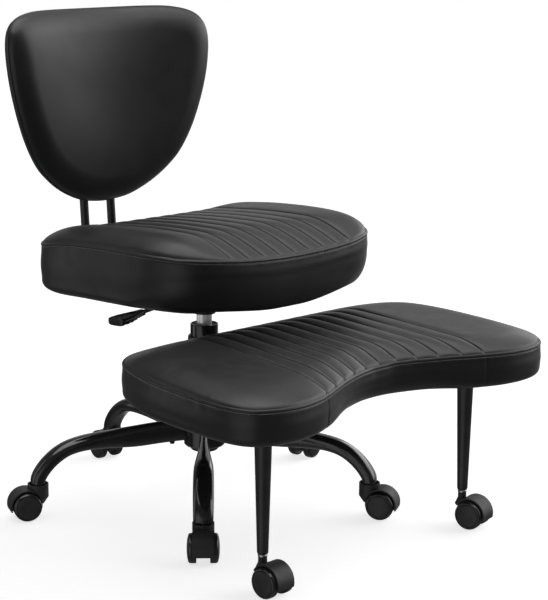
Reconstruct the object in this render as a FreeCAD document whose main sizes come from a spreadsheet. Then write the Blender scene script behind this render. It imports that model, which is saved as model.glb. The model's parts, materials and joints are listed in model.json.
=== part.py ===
import FreeCAD, Part
import Sketcher
import math
import os
from FreeCAD import Vector, Placement, Rotation

# Office chair with a castered footrest. Millimetres. X to the sitter's left, the chair faces -Y,
# Z up; the origin is the column axis on the floor.

os.makedirs("parts", exist_ok=True)
doc = FreeCAD.newDocument("chair_with_footrest")
sheet = doc.addObject("Spreadsheet::Sheet", "Dims")

SIZES = [
    ("TubeOuterRadius", 25.0), ("TubeWall", 2.0), ("TubeBottom", 96.0), ("TubeTop", 329.0),
    ("ChromeRadius", 14.0), ("ChromeBottom", 140.0), ("ChromeTop", 380.0), ("ChromeBore", 11.5),
    ("RodRadius", 5.0), ("RodTop", 272.0), ("RodBottom", 88.0), ("PistonRadius", 11.3),
    ("PinRadius", 4.0), ("PinBottom", 362.0), ("PinTop", 384.6), ("RunningGap", 0.05),
    ("BushBottom", 250.0), ("BushTop", 327.6),
    ("HubRadius", 37.0), ("HubBottom", 104.0), ("HubTop", 156.0), ("TongueWidth", 9.6),
    ("TongueHeight", 26.0), ("TongueReach", 78.0), ("LegBoltRadius", 61.0), ("LegEnd", 65.0),
    ("StemCircle", 307.65), ("StemRadius", 5.5), ("StemTop", 75.0), ("StemBottom", 33.0),
    ("WheelRadius", 25.0), ("WheelInner", 11.3), ("WheelOuter", 27.0), ("WheelTrail", 22.7),
    ("AxleRadius", 4.0), ("AxleReach", 21.0), ("FenderInner", 27.2), ("FenderOuter", 29.7),
    ("FenderWidth", 36.0), ("WebWidth", 21.2), ("CupRadius", 18.5), ("CupBore", 16.5),
    ("CupTop", 61.5), ("CupFloor", 46.0), ("DrumRadius", 13.0), ("NeckRadius", 7.3),
    ("NeckTop", 59.0),
    ("SeatRim", 400.0), ("SeatCrown", 512.0), ("SeatEdgeRound", 22.0), ("SeatBoardBottom", 401.0),
    ("BoardThickness", 12.0), ("PlateThickness", 3.0), ("PanHalf", 50.0), ("PanFloor", 366.0),
    ("SocketRadius", 20.0), ("SocketBottom", 348.0), ("SocketTop", 377.0), ("PlateHalfX", 75.0),
    ("PlateHalfY", 95.0), ("PlateBoltX", 62.0), ("PlateBoltY", 78.0),
    ("LeverRadius", 3.5), ("LeverGrip", 6.8), ("LeverGripLength", 92.0), ("LeverPinRadius", 2.4),
    ("PostRadius", 8.0), ("PostWall", 1.5), ("PostSpacing", 31.5), ("PostRun", 389.0),
    ("PostBend", 45.0), ("PostFront", 112.0), ("PostRear", 293.5), ("BracketHalf", 52.0),
    ("BracketFront", 112.0), ("BracketRear", 200.0), ("BackInner", 526.0), ("BackFoam", 34.0),
    ("BackBoard", 9.0), ("BackPanel", 6.0),
    ("RestRim", 272.5), ("RestCrown", 360.0), ("RestEdgeRound", 22.0), ("RestBoardBottom", 274.0),
    ("CollarRadius", 29.5), ("CollarBore", 27.0), ("CollarBottom", 247.0), ("CollarTop", 305.5),
    ("ArmHalf", 20.0), ("ArmBottom", 250.5), ("ArmTop", 270.5), ("ArmReach", 330.0),
    ("RestLegX", 239.8), ("RestLegY", -408.0), ("RestLegTop", 270.0), ("RestLegBottom", 63.0),
    ("RestLegTopRadius", 14.6), ("RestLegEndRadius", 9.2), ("RestPlateHalf", 36.0),
]
for row, (alias, size) in enumerate(SIZES, 1):
    sheet.set("A%d" % row, alias)
    sheet.set("B%d" % row, "%g" % size)
    sheet.setAlias("B%d" % row, alias)
doc.recompute()


class Q:
    """A size with its number and the sheet expression that gives it."""

    def __init__(self, number, text):
        self.number = number
        self.text = text

    def join(self, other, sign, turned=False):
        o = other if isinstance(other, Q) else Q(float(other), "%.6g" % float(other))
        a, b = (o, self) if turned else (self, o)
        n = {"+": lambda: a.number + b.number, "-": lambda: a.number - b.number,
             "*": lambda: a.number * b.number, "/": lambda: a.number / b.number}[sign]()
        return Q(n, "(%s %s %s)" % (a.text, sign, b.text))

    def __add__(self, o):
        return self.join(o, "+")

    def __radd__(self, o):
        return self.join(o, "+", True)

    def __sub__(self, o):
        return self.join(o, "-")

    def __rsub__(self, o):
        return self.join(o, "-", True)

    def __mul__(self, o):
        return self.join(o, "*")

    def __rmul__(self, o):
        return self.join(o, "*", True)

    def __truediv__(self, o):
        return self.join(o, "/")

    def __neg__(self):
        return Q(-self.number, "(0 - %s)" % self.text)


D = {alias: Q(size, "Dims." + alias) for alias, size in SIZES}


def num(q):
    return q.number if isinstance(q, Q) else float(q)


def bind(obj, prop, q):
    if isinstance(q, Q):
        obj.setExpression(prop, q.text)
    else:
        setattr(obj, prop, float(q))


PIECES = []


def piece(obj, label):
    obj.Label = label
    PIECES.append(obj)
    return obj


def new_body(name):
    body = doc.addObject("PartDesign::Body", name)
    if hasattr(body, "AllowCompound"):
        body.AllowCompound = True
    return body


def plane(body, role):
    return [f for f in body.Origin.OriginFeatures if f.Role == role][0]


def new_sketch(body, role, name):
    sk = body.newObject("Sketcher::SketchObject", name)
    sk.AttachmentSupport = [(plane(body, role), "")]
    sk.MapMode = "FlatFace"
    return sk


def polygon(sk, points):
    """Closed polygon with every corner held by two sheet-driven sizes."""
    n = len(points)
    xy = [Vector(num(px), num(py), 0) for px, py in points]
    first = sk.GeometryCount
    for i in range(n):
        sk.addGeometry(Part.LineSegment(xy[i], xy[(i + 1) % n]), False)
    for i in range(n):
        sk.addConstraint(Sketcher.Constraint("Coincident", first + i, 2, first + (i + 1) % n, 1))
    for i, (px, py) in enumerate(points):
        for kind, q in (("DistanceX", px), ("DistanceY", py)):
            c = sk.addConstraint(Sketcher.Constraint(kind, -1, 1, first + i, 1, num(q)))
            if isinstance(q, Q):
                sk.setExpression("Constraints[%d]" % c, q.text)


def ring(sk, cx, cy, radius):
    g = sk.addGeometry(Part.Circle(Vector(num(cx), num(cy), 0), Vector(0, 0, 1), num(radius)), False)
    for kind, q in (("DistanceX", cx), ("DistanceY", cy)):
        if abs(num(q)) < 1e-9 and not isinstance(q, Q):
            continue
        c = sk.addConstraint(Sketcher.Constraint(kind, -1, 1, g, 3, num(q)))
        if isinstance(q, Q):
            sk.setExpression("Constraints[%d]" % c, q.text)
    c = sk.addConstraint(Sketcher.Constraint("Radius", g, num(radius)))
    if isinstance(radius, Q):
        sk.setExpression("Constraints[%d]" % c, radius.text)


def closed_curve(sk, points):
    curve = Part.BSplineCurve()
    curve.interpolate(Points=[Vector(x, y, 0) for x, y in points], PeriodicFlag=True)
    sk.addGeometry(curve, False)


def turned(name, points, place=None):
    """Body of revolution about its own Z from (radius, height) corners."""
    body = new_body(name)
    sk = new_sketch(body, "XZ_Plane", name + "_profile")
    polygon(sk, points)
    rev = body.newObject("PartDesign::Revolution", name + "_turn")
    rev.Profile = sk
    rev.ReferenceAxis = (sk, ["V_Axis"])
    rev.Angle = 360.0
    body.Tip = rev
    if place is not None:
        body.Placement = place
    return body


def pad(body, sk, name, length, z=None, reverse=False, middle=False):
    if z is not None:
        sk.AttachmentOffset = Placement(Vector(0, 0, num(z)), Rotation())
        if isinstance(z, Q):
            sk.setExpression("AttachmentOffset.Base.z", z.text)
    f = body.newObject("PartDesign::Pad", name)
    f.Profile = sk
    bind(f, "Length", length)
    f.Reversed = reverse
    if middle:
        f.Midplane = True
    body.Tip = f
    return f


def pocket(body, sk, name, length, z=None, reverse=False):
    if z is not None:
        sk.AttachmentOffset = Placement(Vector(0, 0, num(z)), Rotation())
        if isinstance(z, Q):
            sk.setExpression("AttachmentOffset.Base.z", z.text)
    f = body.newObject("PartDesign::Pocket", name)
    f.Profile = sk
    bind(f, "Length", length)
    f.Reversed = reverse
    body.Tip = f
    return f


def cylinder(name, radius, height, place, angle=360.0):
    c = doc.addObject("Part::Cylinder", name)
    bind(c, "Radius", radius)
    bind(c, "Height", height)
    c.Angle = angle
    c.Placement = place
    return c


def cone(name, low, high, height, place):
    c = doc.addObject("Part::Cone", name)
    bind(c, "Radius1", low)
    bind(c, "Radius2", high)
    bind(c, "Height", height)
    c.Placement = place
    return c


def box(name, lx, ly, lz, place):
    c = doc.addObject("Part::Box", name)
    bind(c, "Length", lx)
    bind(c, "Width", ly)
    bind(c, "Height", lz)
    c.Placement = place
    return c


def cut(name, base, tool):
    c = doc.addObject("Part::Cut", name)
    c.Base = base
    c.Tool = tool
    return c


def fuse(name, shapes):
    c = doc.addObject("Part::MultiFuse", name)
    c.Shapes = shapes
    c.Refine = True
    return c


def group(name, shapes):
    c = doc.addObject("Part::Compound", name)
    c.Links = shapes
    return c


def at(x=0.0, y=0.0, z=0.0, rot=None):
    return Placement(Vector(num(x), num(y), num(z)), rot if rot is not None else Rotation())


def about(axis, angle):
    return Rotation(Vector(*axis), angle)


# ------------------------------------------------------------------ gas lift
tube_in = D["TubeOuterRadius"] - D["TubeWall"]
piece(turned("OuterTube", [
    (5.6, D["TubeBottom"]), (D["TubeOuterRadius"] - 1.5, D["TubeBottom"]),
    (D["TubeOuterRadius"], D["TubeBottom"] + 1.5), (D["TubeOuterRadius"], D["TubeTop"] - 0.8),
    (D["TubeOuterRadius"] - 0.8, D["TubeTop"]), (tube_in, D["TubeTop"]),
    (tube_in, D["TubeBottom"] + 4), (5.6, D["TubeBottom"] + 4)]), "lift_outer_tube")
bush_in = D["ChromeRadius"] + D["RunningGap"]
piece(turned("GuideBush", [
    (bush_in, D["BushBottom"]), (tube_in, D["BushBottom"]), (tube_in, D["BushTop"] - 1),
    (tube_in - 1, D["BushTop"]), (bush_in + 1, D["BushTop"]), (bush_in, D["BushTop"] - 1)]),
    "lift_guide_bush")
gland = D["RodRadius"] + D["RunningGap"]
pin_bore = D["PinRadius"] + D["RunningGap"]
piece(turned("PressureTube", [
    (gland, D["ChromeBottom"]), (D["ChromeRadius"] - 1, D["ChromeBottom"]),
    (D["ChromeRadius"], D["ChromeBottom"] + 1), (D["ChromeRadius"], D["ChromeTop"]),
    (pin_bore, D["ChromeTop"]), (pin_bore, D["ChromeTop"] - 12),
    (D["ChromeBore"], D["ChromeTop"] - 12), (D["ChromeBore"], D["ChromeBottom"] + 10),
    (gland, D["ChromeBottom"] + 10)]), "lift_pressure_tube")
piece(turned("PistonRod", [
    (0, D["RodBottom"]), (D["RodRadius"], D["RodBottom"]), (D["RodRadius"], 107.6), (7.5, 107.6),
    (7.5, 112), (D["RodRadius"], 112), (D["RodRadius"], D["RodTop"] - 14),
    (D["PistonRadius"], D["RodTop"] - 14), (D["PistonRadius"], D["RodTop"]), (0, D["RodTop"])]),
    "lift_piston_rod")
piece(turned("ThrustBearing", [
    (gland, D["TubeBottom"] + 4.3), (16, D["TubeBottom"] + 4.3), (16, D["TubeBottom"] + 6.3),
    (14.5, D["TubeBottom"] + 6.8), (14.5, D["TubeBottom"] + 8.8), (16, D["TubeBottom"] + 9.3),
    (16, D["TubeBottom"] + 11.6), (gland, D["TubeBottom"] + 11.6)]), "lift_thrust_bearing")
piece(turned("Clip", [
    (gland, 92.6), (9.0, 92.6), (9.0, 94.4), (gland, 94.4)]), "lift_clip")
piece(turned("ReleasePin", [
    (0, D["PinBottom"]), (D["PinRadius"], D["PinBottom"]), (D["PinRadius"], D["PinTop"] - 0.8),
    (D["PinRadius"] - 0.8, D["PinTop"]), (0, D["PinTop"])]), "lift_release_pin")

# ------------------------------------------------------------------ base
LEG_ANGLES = [-131.96 + 72.0 * k for k in range(5)]
tongues = []
hub_core = turned("HubCore", [
    (D["TubeOuterRadius"], D["HubBottom"]), (D["HubRadius"] - 3, D["HubBottom"]),
    (D["HubRadius"], D["HubBottom"] + 3), (D["HubRadius"], D["HubTop"] - 5),
    (D["HubRadius"] - 2, D["HubTop"] - 1.6), (D["HubRadius"] - 5, D["HubTop"]),
    (D["TubeOuterRadius"], D["HubTop"])])
for k, angle in enumerate(LEG_ANGLES):
    turn = about((0, 0, 1), angle)
    tongue = box("Tongue%d" % (k + 1), D["TongueReach"] - 30, D["TongueWidth"], D["TongueHeight"],
                 Placement(turn.multVec(Vector(30, -D["TongueWidth"].number / 2, 121.5)), turn))
    hole = cylinder("TongueHole%d" % (k + 1), 2.5, 20,
                    Placement(turn.multVec(Vector(D["LegBoltRadius"].number, 0, 110)), turn))
    tongues.append(cut("DrilledTongue%d" % (k + 1), tongue, hole))
piece(fuse("Hub", [hub_core] + tongues), "base_hub")

LEG_PATH = [  # radius, height, width, depth
    (37.3, 135.0, 17.5, 40.0), (59.0, 134.8, 17.5, 40.2), (82.0, 134.2, 17.5, 40.5),
    (106.0, 132.8, 17.7, 40.4), (130.0, 131.4, 18.8, 39.2), (152.0, 130.8, 21.4, 36.4),
    (172.0, 130.4, 24.6, 33.0), (190.0, 130.0, 28.0, 30.6), (206.0, 129.3, 31.0, 28.9),
    (221.0, 128.0, 33.3, 27.5), (234.0, 126.0, 34.6, 26.4), (246.0, 123.1, 35.0, 25.8),
    (257.0, 119.2, 35.2, 25.4), (268.0, 113.4, 35.3, 25.3), (278.0, 106.4, 35.4, 25.2),
    (287.0, 98.5, 35.3, 25.2), (295.0, 89.8, 35.2, 25.2), (301.5, 81.0, 34.8, 25.2),
    (306.0, 72.6, 34.4, 25.1), (307.65, 65.0, 34.0, 25.0)]


def leg_section(body, name, k, shrink, angle, stretch=0.0):
    r, z, wide, deep = LEG_PATH[k]
    a = LEG_PATH[max(k - 1, 0)]
    b = LEG_PATH[min(k + 1, len(LEG_PATH) - 1)]
    tr, tz = b[0] - a[0], b[1] - a[1]
    if k == 0:
        tr, tz = 1.0, 0.0
    if k == len(LEG_PATH) - 1:
        tr, tz = 0.0, -1.0
    n = math.hypot(tr, tz)
    tr, tz = tr / n, tz / n
    r, z = r + tr * stretch, z + tz * stretch
    points = []
    for j in range(16):
        t = 2 * math.pi * j / 16
        c, s = math.cos(t), math.sin(t)
        e = 2.0 / 2.5
        points.append((math.copysign(abs(c) ** e, c) * (wide / 2 - shrink),
                       math.copysign(abs(s) ** e, s) * (deep / 2 - shrink)))
    turn = about((0, 0, 1), angle)
    side = turn.multVec(Vector(0, 1, 0))
    along = turn.multVec(Vector(tr, 0, tz))
    up = turn.multVec(Vector(-tz, 0, tr))
    frame = FreeCAD.Matrix(side.x, up.x, -along.x, 0, side.y, up.y, -along.y, 0,
                           side.z, up.z, -along.z, 0, 0, 0, 0, 1)
    rot = Placement(frame).Rotation
    sk = body.newObject("Sketcher::SketchObject", name)
    sk.AttachmentSupport = [(plane(body, "XY_Plane"), "")]
    sk.MapMode = "FlatFace"
    sk.AttachmentOffset = Placement(turn.multVec(Vector(r, 0, z)), rot)
    closed_curve(sk, points)
    return sk


legs = new_body("Legs")
outer = [leg_section(legs, "LegOuter%d" % k, k, 0.0, LEG_ANGLES[0]) for k in range(len(LEG_PATH))]
skin = legs.newObject("PartDesign::AdditiveLoft", "LegSkin")
skin.Profile = outer[0]
skin.Sections = outer[1:]
legs.Tip = skin
last = len(LEG_PATH) - 1
inner = [leg_section(legs, "LegInner%d" % k, k, 1.8, LEG_ANGLES[0],
                     -1.0 if k == 0 else (1.0 if k == last else 0.0)) for k in range(len(LEG_PATH))]
bore = legs.newObject("PartDesign::SubtractiveLoft", "LegBore")
bore.Profile = inner[0]
bore.Sections = inner[1:]
legs.Tip = bore
screw_hole = new_sketch(legs, "XY_Plane", "LegHoleSketch")
spot = about((0, 0, 1), LEG_ANGLES[0]).multVec(Vector(D["LegBoltRadius"].number, 0, 0))
ring(screw_hole, spot.x, spot.y, 2.7)
hole = pocket(legs, screw_hole, "LegHole", 14, 108, True)
copies = legs.newObject("PartDesign::PolarPattern", "LegCopies")
copies.Originals = [skin, bore, hole]
copies.Axis = (screw_hole, ["N_Axis"])
copies.Angle = 360
copies.Occurrences = 5
legs.Tip = copies
piece(legs, "base_legs")

bolts, plugs, stems = [], [], []
for k, angle in enumerate(LEG_ANGLES):
    turn = about((0, 0, 1), angle)
    spot = turn.multVec(Vector(D["LegBoltRadius"].number, 0, 0))
    bolts.append(turned("LegBolt%d" % (k + 1), [
        (0, 110.9), (3.4, 110.9), (4.6, 111.9), (4.6, 114.3), (2.4, 114.3), (2.4, 129.0), (0, 129.0)],
        Placement(spot, turn)))
    stem_at = Placement(turn.multVec(Vector(D["StemCircle"].number, 0, 0)), turn)
    plug = new_body("Plug%d" % (k + 1))
    sk = new_sketch(plug, "XY_Plane", "PlugFlange%d" % (k + 1))
    flange = []
    for j in range(16):
        t = 2 * math.pi * j / 16
        c, s = math.cos(t), math.sin(t)
        flange.append((math.copysign(abs(c) ** 0.8, c) * 12.3, math.copysign(abs(s) ** 0.8, s) * 16.8))
    closed_curve(sk, flange)
    pad(plug, sk, "PlugLip%d" % (k + 1), 1.8, D["LegEnd"] - 2.0)
    sk = new_sketch(plug, "XY_Plane", "PlugCore%d" % (k + 1))
    ring(sk, 0, 0, 9.0)
    pad(plug, sk, "PlugBody%d" % (k + 1), 10.7, D["LegEnd"] - 0.2)
    sk = new_sketch(plug, "XY_Plane", "PlugBore%d" % (k + 1))
    ring(sk, 0, 0, D["StemRadius"])
    pocket(plug, sk, "PlugHole%d" % (k + 1), 20, D["LegEnd"] - 4, True)
    plug.Placement = stem_at
    plugs.append(plug)
    stems.append(turned("BaseStem%d" % (k + 1), [
        (0, D["StemBottom"]), (D["StemRadius"] - 1, D["StemBottom"]),
        (D["StemRadius"], D["StemBottom"] + 1), (D["StemRadius"], 60.4), (7.2, 60.4), (7.2, 62.9),
        (D["StemRadius"], 62.9), (D["StemRadius"], D["StemTop"]), (0, D["StemTop"])], stem_at))
piece(group("LegBolts", bolts), "base_leg_bolts")
piece(group("LegPlugs", plugs), "base_leg_plugs")
piece(group("BaseStems", stems), "base_caster_stems")


# ------------------------------------------------------------------ casters
def make_caster(prefix, x, y, angle, cup):
    where = Placement(Vector(x, y, 0), about((0, 0, 1), angle))
    flat = about((1, 0, 0), 90)
    t, r = D["WheelTrail"].number, D["WheelRadius"].number

    def across(name, radius, width, start=0.0, sweep=360.0):
        return cylinder(prefix + name, radius, width,
                        at(t, num(width) / 2, r, flat * about((0, 0, 1), start)), sweep)

    shell = cut(prefix + "_fender_ring",
                across("_fender_out", D["FenderOuter"], D["FenderWidth"], -15, 165),
                across("_fender_in", D["FenderInner"], D["FenderWidth"] + 8))
    web = across("_web", D["FenderInner"] + 1, D["WebWidth"], -12, 205)
    drum = across("_drum", D["DrumRadius"], D["WebWidth"])
    wells = []
    for side in (1, -1):
        wells.append(cylinder(prefix + ("_well_left" if side > 0 else "_well_right"),
                              D["FenderInner"] - 0.2, 30,
                              at(t, (D["WebWidth"].number / 2 + 30) if side > 0
                                 else -D["WebWidth"].number / 2, r, flat)))
    bores = [across("_axle_bore", D["AxleRadius"], D["WebWidth"] + 4),
             cylinder(prefix + "_stem_bore", D["StemRadius"] + D["RunningGap"], 30,
                      at(0, 0, D["StemBottom"].number - 0.6))]
    if cup:
        neck = [cylinder(prefix + "_cup", D["CupRadius"], D["CupTop"] - 38, at(0, 0, 38)),
                cone(prefix + "_cup_foot", 10.5, D["CupRadius"], 12, at(0, 0, 26))]
        bores.append(cylinder(prefix + "_cup_bore", D["CupBore"], D["CupTop"] - D["CupFloor"] + 4,
                              at(0, 0, D["CupFloor"].number)))
    else:
        neck = [cylinder(prefix + "_neck", D["NeckRadius"], D["NeckTop"] - 34, at(0, 0, 34)),
                cone(prefix + "_neck_foot", 12.5, D["NeckRadius"], 12, at(0, 0, 38))]
    solid = fuse(prefix + "_hood_body", [shell, web, drum] + neck)
    hood = cut(prefix + "_hood_cut", solid, fuse(prefix + "_hood_tools", wells + bores))
    hood.Placement = where
    piece(hood, prefix + "_hood")

    axle = turned(prefix + "_axle_body", [
        (0, -D["AxleReach"]), (D["AxleRadius"] - 0.6, -D["AxleReach"]),
        (D["AxleRadius"], 0.6 - D["AxleReach"]), (D["AxleRadius"], D["AxleReach"] - 0.6),
        (D["AxleRadius"] - 0.6, D["AxleReach"]), (0, D["AxleReach"])],
        where * at(t, 0, r, about((1, 0, 0), -90)))
    piece(axle, prefix + "_axle")
    hole = D["AxleRadius"] + D["RunningGap"]
    for side, name in ((1, "_wheel_left"), (-1, "_wheel_right")):
        wheel = turned(prefix + name + "_body", [
            (hole, D["WheelInner"]), (D["WheelRadius"] - 1.2, D["WheelInner"]),
            (D["WheelRadius"] - 0.3, D["WheelInner"] + 0.5), (D["WheelRadius"], D["WheelInner"] + 1.6),
            (D["WheelRadius"], D["WheelOuter"] - 6.0), (D["WheelRadius"] - 0.5, D["WheelOuter"] - 3.8),
            (D["WheelRadius"] - 1.8, D["WheelOuter"] - 2.4), (D["WheelRadius"] - 3.6, D["WheelOuter"] - 1.8),
            (D["WheelRadius"] - 4.2, D["WheelOuter"] - 2.6), (D["WheelRadius"] - 4.8, D["WheelOuter"] - 1.7),
            (D["WheelRadius"] - 8.0, D["WheelOuter"] - 0.8), (D["WheelRadius"] - 14, D["WheelOuter"] - 0.2),
            (0, D["WheelOuter"]), (0, D["AxleReach"] + 1.0), (hole, D["AxleReach"] + 1.0)],
            where * at(t, 0, r, about((1, 0, 0), -90 * side)))
        piece(wheel, prefix + name)


for k, angle in enumerate(LEG_ANGLES):
    reach = D["StemCircle"].number
    make_caster("base_caster_%d" % (k + 1), reach * math.cos(math.radians(angle)),
                reach * math.sin(math.radians(angle)), angle, True)
make_caster("footrest_caster_left", D["RestLegX"].number, D["RestLegY"].number, -76.5, False)
make_caster("footrest_caster_right", -D["RestLegX"].number, D["RestLegY"].number, -87.5, False)

# ------------------------------------------------------------------ outlines
SEAT_HALF = [(0, -233), (60, -232.5), (112, -229), (155, -221), (193, -204), (219, -175), (232, -134),
             (237, -90), (240.5, -40), (243, 0), (247, 50), (249, 100), (245, 138), (231, 170),
             (205, 193), (168, 210), (120, 220), (60, 225), (0, 226)]
REST_HALF = [(0, -431), (30, -433), (72, -445), (122, -465), (172, -489), (223, -508), (275, -513),
             (318, -503), (345, -478), (356, -430), (354, -330), (343, -245), (312, -158),
             (281, -124), (243, -107), (180, -101), (90, -100), (0, -100)]
# across, and up along the leaning back from its foot
BACK_HALF = [(0, 2), (40, 5.5), (60, 10), (80, 17.5), (100, 27), (120, 39), (140, 54), (160, 73),
             (175, 94), (188, 117), (198, 139), (206, 160), (213, 181), (219, 202), (224, 223),
             (228, 245), (230.5, 267), (231.5, 285), (230.5, 303), (226, 320), (219, 331), (208, 340),
             (193, 346.5), (175, 351), (150, 354.5), (110, 356), (55, 356.3), (0, 356.3)]


def whole(half):
    return half + [(-x, y) for x, y in reversed(half[1:-1])]


def inset(points, amount):
    n = len(points)
    out = []
    for i in range(n):
        ax, ay = points[i - 1]
        bx, by = points[(i + 1) % n]
        tx, ty = bx - ax, by - ay
        length = math.hypot(tx, ty)
        out.append((points[i][0] - ty / length * amount, points[i][1] + tx / length * amount))
    return out


def cushion(name, outline, rim, crown, edge, board_bottom):
    """Foam block with rounded edges and a recess underneath for its board."""
    body = new_body(name)
    sk = new_sketch(body, "XY_Plane", name + "_outline")
    closed_curve(sk, outline)
    block = pad(body, sk, name + "_block", crown - rim, rim)
    doc.recompute()
    rims = []
    for i, e in enumerate(block.Shape.Edges, 1):
        b = e.BoundBox
        if b.ZLength < 1e-3 and b.ZMin > num(crown) - 0.01:
            rims.append("Edge%d" % i)
    soft = body.newObject("PartDesign::Fillet", name + "_top_round")
    soft.Base = (block, rims)
    bind(soft, "Radius", edge)
    body.Tip = soft
    sk = new_sketch(body, "XY_Plane", name + "_recess")
    closed_curve(sk, inset(outline, 16.0))
    pocket(body, sk, name + "_hollow", board_bottom + D["BoardThickness"] - rim, rim, True)
    return body


def board(name, outline, bottom, holes, radius):
    body = new_body(name)
    sk = new_sketch(body, "XY_Plane", name + "_outline")
    closed_curve(sk, inset(outline, 16.4))
    pad(body, sk, name + "_sheet", D["BoardThickness"], bottom)
    sk = new_sketch(body, "XY_Plane", name + "_holes")
    for hx, hy in holes:
        ring(sk, hx, hy, radius)
    pocket(body, sk, name + "_drilled", 10, bottom, True)
    return body


# ------------------------------------------------------------------ seat
SEAT = whole(SEAT_HALF)
piece(cushion("SeatFoam", SEAT, D["SeatRim"], D["SeatCrown"], D["SeatEdgeRound"],
              D["SeatBoardBottom"]), "seat_cushion")
plate_holes = [(sx * D["PlateBoltX"], sy * D["PlateBoltY"]) for sx in (1, -1) for sy in (1, -1)]
bracket_holes = [(sx * 44.0, sy) for sx in (1, -1) for sy in (126.0, 186.0)]
piece(board("SeatPly", SEAT, D["SeatBoardBottom"], plate_holes + bracket_holes, 3.1), "seat_board")

plate = new_body("SeatPlate")
flange_z = D["SeatBoardBottom"] - D["PlateThickness"]
sk = new_sketch(plate, "XY_Plane", "PlateFlange")
polygon(sk, [(-D["PlateHalfX"], 12 - D["PlateHalfY"]), (12 - D["PlateHalfX"], -D["PlateHalfY"]),
             (D["PlateHalfX"] - 12, -D["PlateHalfY"]), (D["PlateHalfX"], 12 - D["PlateHalfY"]),
             (D["PlateHalfX"], D["PlateHalfY"] - 12), (D["PlateHalfX"] - 12, D["PlateHalfY"]),
             (12 - D["PlateHalfX"], D["PlateHalfY"]), (-D["PlateHalfX"], D["PlateHalfY"] - 12)])
pad(plate, sk, "PlateSheet", D["PlateThickness"], flange_z)
sk = new_sketch(plate, "XY_Plane", "PlatePan")
half, corner = D["PanHalf"], 10
polygon(sk, [(-half, corner - half), (corner - half, -half), (half - corner, -half),
             (half, corner - half), (half, half - corner), (half - corner, half),
             (corner - half, half), (-half, half - corner)])
pad(plate, sk, "PlateBox", flange_z - D["PanFloor"], D["PanFloor"])
sk = new_sketch(plate, "XY_Plane", "PlateSocket")
ring(sk, 0, 0, D["SocketRadius"])
pad(plate, sk, "PlateBoss", D["PanFloor"] - D["SocketBottom"] + 1, D["SocketBottom"])
sk = new_sketch(plate, "XY_Plane", "PlateHollow")
hin = half - 2.5
polygon(sk, [(-hin, corner - hin), (corner - hin, -hin), (hin - corner, -hin), (hin, corner - hin),
             (hin, hin - corner), (hin - corner, hin), (corner - hin, hin), (-hin, hin - corner)])
pocket(plate, sk, "PlateInside", D["SeatBoardBottom"] - D["PanFloor"] - 2.5, D["SeatBoardBottom"])
sk = new_sketch(plate, "XY_Plane", "PlateCollar")
ring(sk, 0, 0, D["SocketRadius"])
pad(plate, sk, "PlateRaised", D["SocketTop"] - D["PanFloor"] - 1, D["PanFloor"] + 1)
sk = new_sketch(plate, "XY_Plane", "PlateBore")
ring(sk, 0, 0, D["ChromeRadius"])
pocket(plate, sk, "PlateThrough", 80, D["SocketBottom"] - 4, True)
sk = new_sketch(plate, "XY_Plane", "PlateHoles")
for hx, hy in plate_holes:
    ring(sk, hx, hy, 3.3)
pocket(plate, sk, "PlateDrilled", 20, D["SeatBoardBottom"] + 2)
sk = new_sketch(plate, "YZ_Plane", "PlateSlot")
polygon(sk, [(-20, 377.5), (0, 377.5), (0, 396), (-20, 396)])
pocket(plate, sk, "PlateSlotCut", 20, -60, True)
piece(plate, "seat_plate")


def screw(name, x, y, z, head, shank, length, up=True):
    """Pan-head screw with its head below z and its shank above it."""
    return turned(name, [
        (0, -3.6), (num(head) * 0.7, -3.6), (head, -2.4), (head, 0.0), (shank, 0.0),
        (shank, length), (0, length)], at(x, y, z))


seat_screws = [screw("SeatBolt%d" % (i + 1), hx, hy, flange_z, 6.0, 3.0, 12.5)
               for i, (hx, hy) in enumerate(plate_holes)]
piece(group("SeatBolts", seat_screws), "seat_bolts")

# ------------------------------------------------------------------ height lever
LEVER_TURN = 180.0 + 10.8   # direction of the lever in plan, from +X
LEVER_DROP = 3.1
lever_place = Placement(Vector(0, 0, 388.9), about((0, 0, 1), LEVER_TURN) * about((0, 1, 0), 90 + LEVER_DROP))
lever_bar = turned("LeverBar", [
    (0, -6.0), (D["LeverRadius"] - 1, -6.0), (D["LeverRadius"], -5.0), (D["LeverRadius"], 214.0),
    (D["LeverRadius"] - 0.8, 215.0), (0, 215.0)], lever_place)
# cross pin the lever tips about, in the mouth of the pan's slot
lever_pin = cylinder("LeverPin", D["LeverPinRadius"], 16,
                     lever_place * at(0, 8, 52.0 / math.cos(math.radians(LEVER_DROP)), about((1, 0, 0), 90)))
piece(fuse("LeverRod", [lever_bar, lever_pin]), "lever_rod")
grip_end = 164.0 + D["LeverGripLength"]
piece(turned("LeverHandle", [
    (D["LeverRadius"], 162.0), (D["LeverRadius"] + 1.2, 161.0), (D["LeverGrip"] - 1.2, 163.0),
    (D["LeverGrip"], 168.0), (D["LeverGrip"], grip_end - 7), (D["LeverGrip"] - 1.6, grip_end - 2),
    (D["LeverGrip"] - 4.2, grip_end), (0, grip_end), (0, 215.4), (D["LeverRadius"], 215.4)],
    lever_place), "lever_handle")

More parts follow.
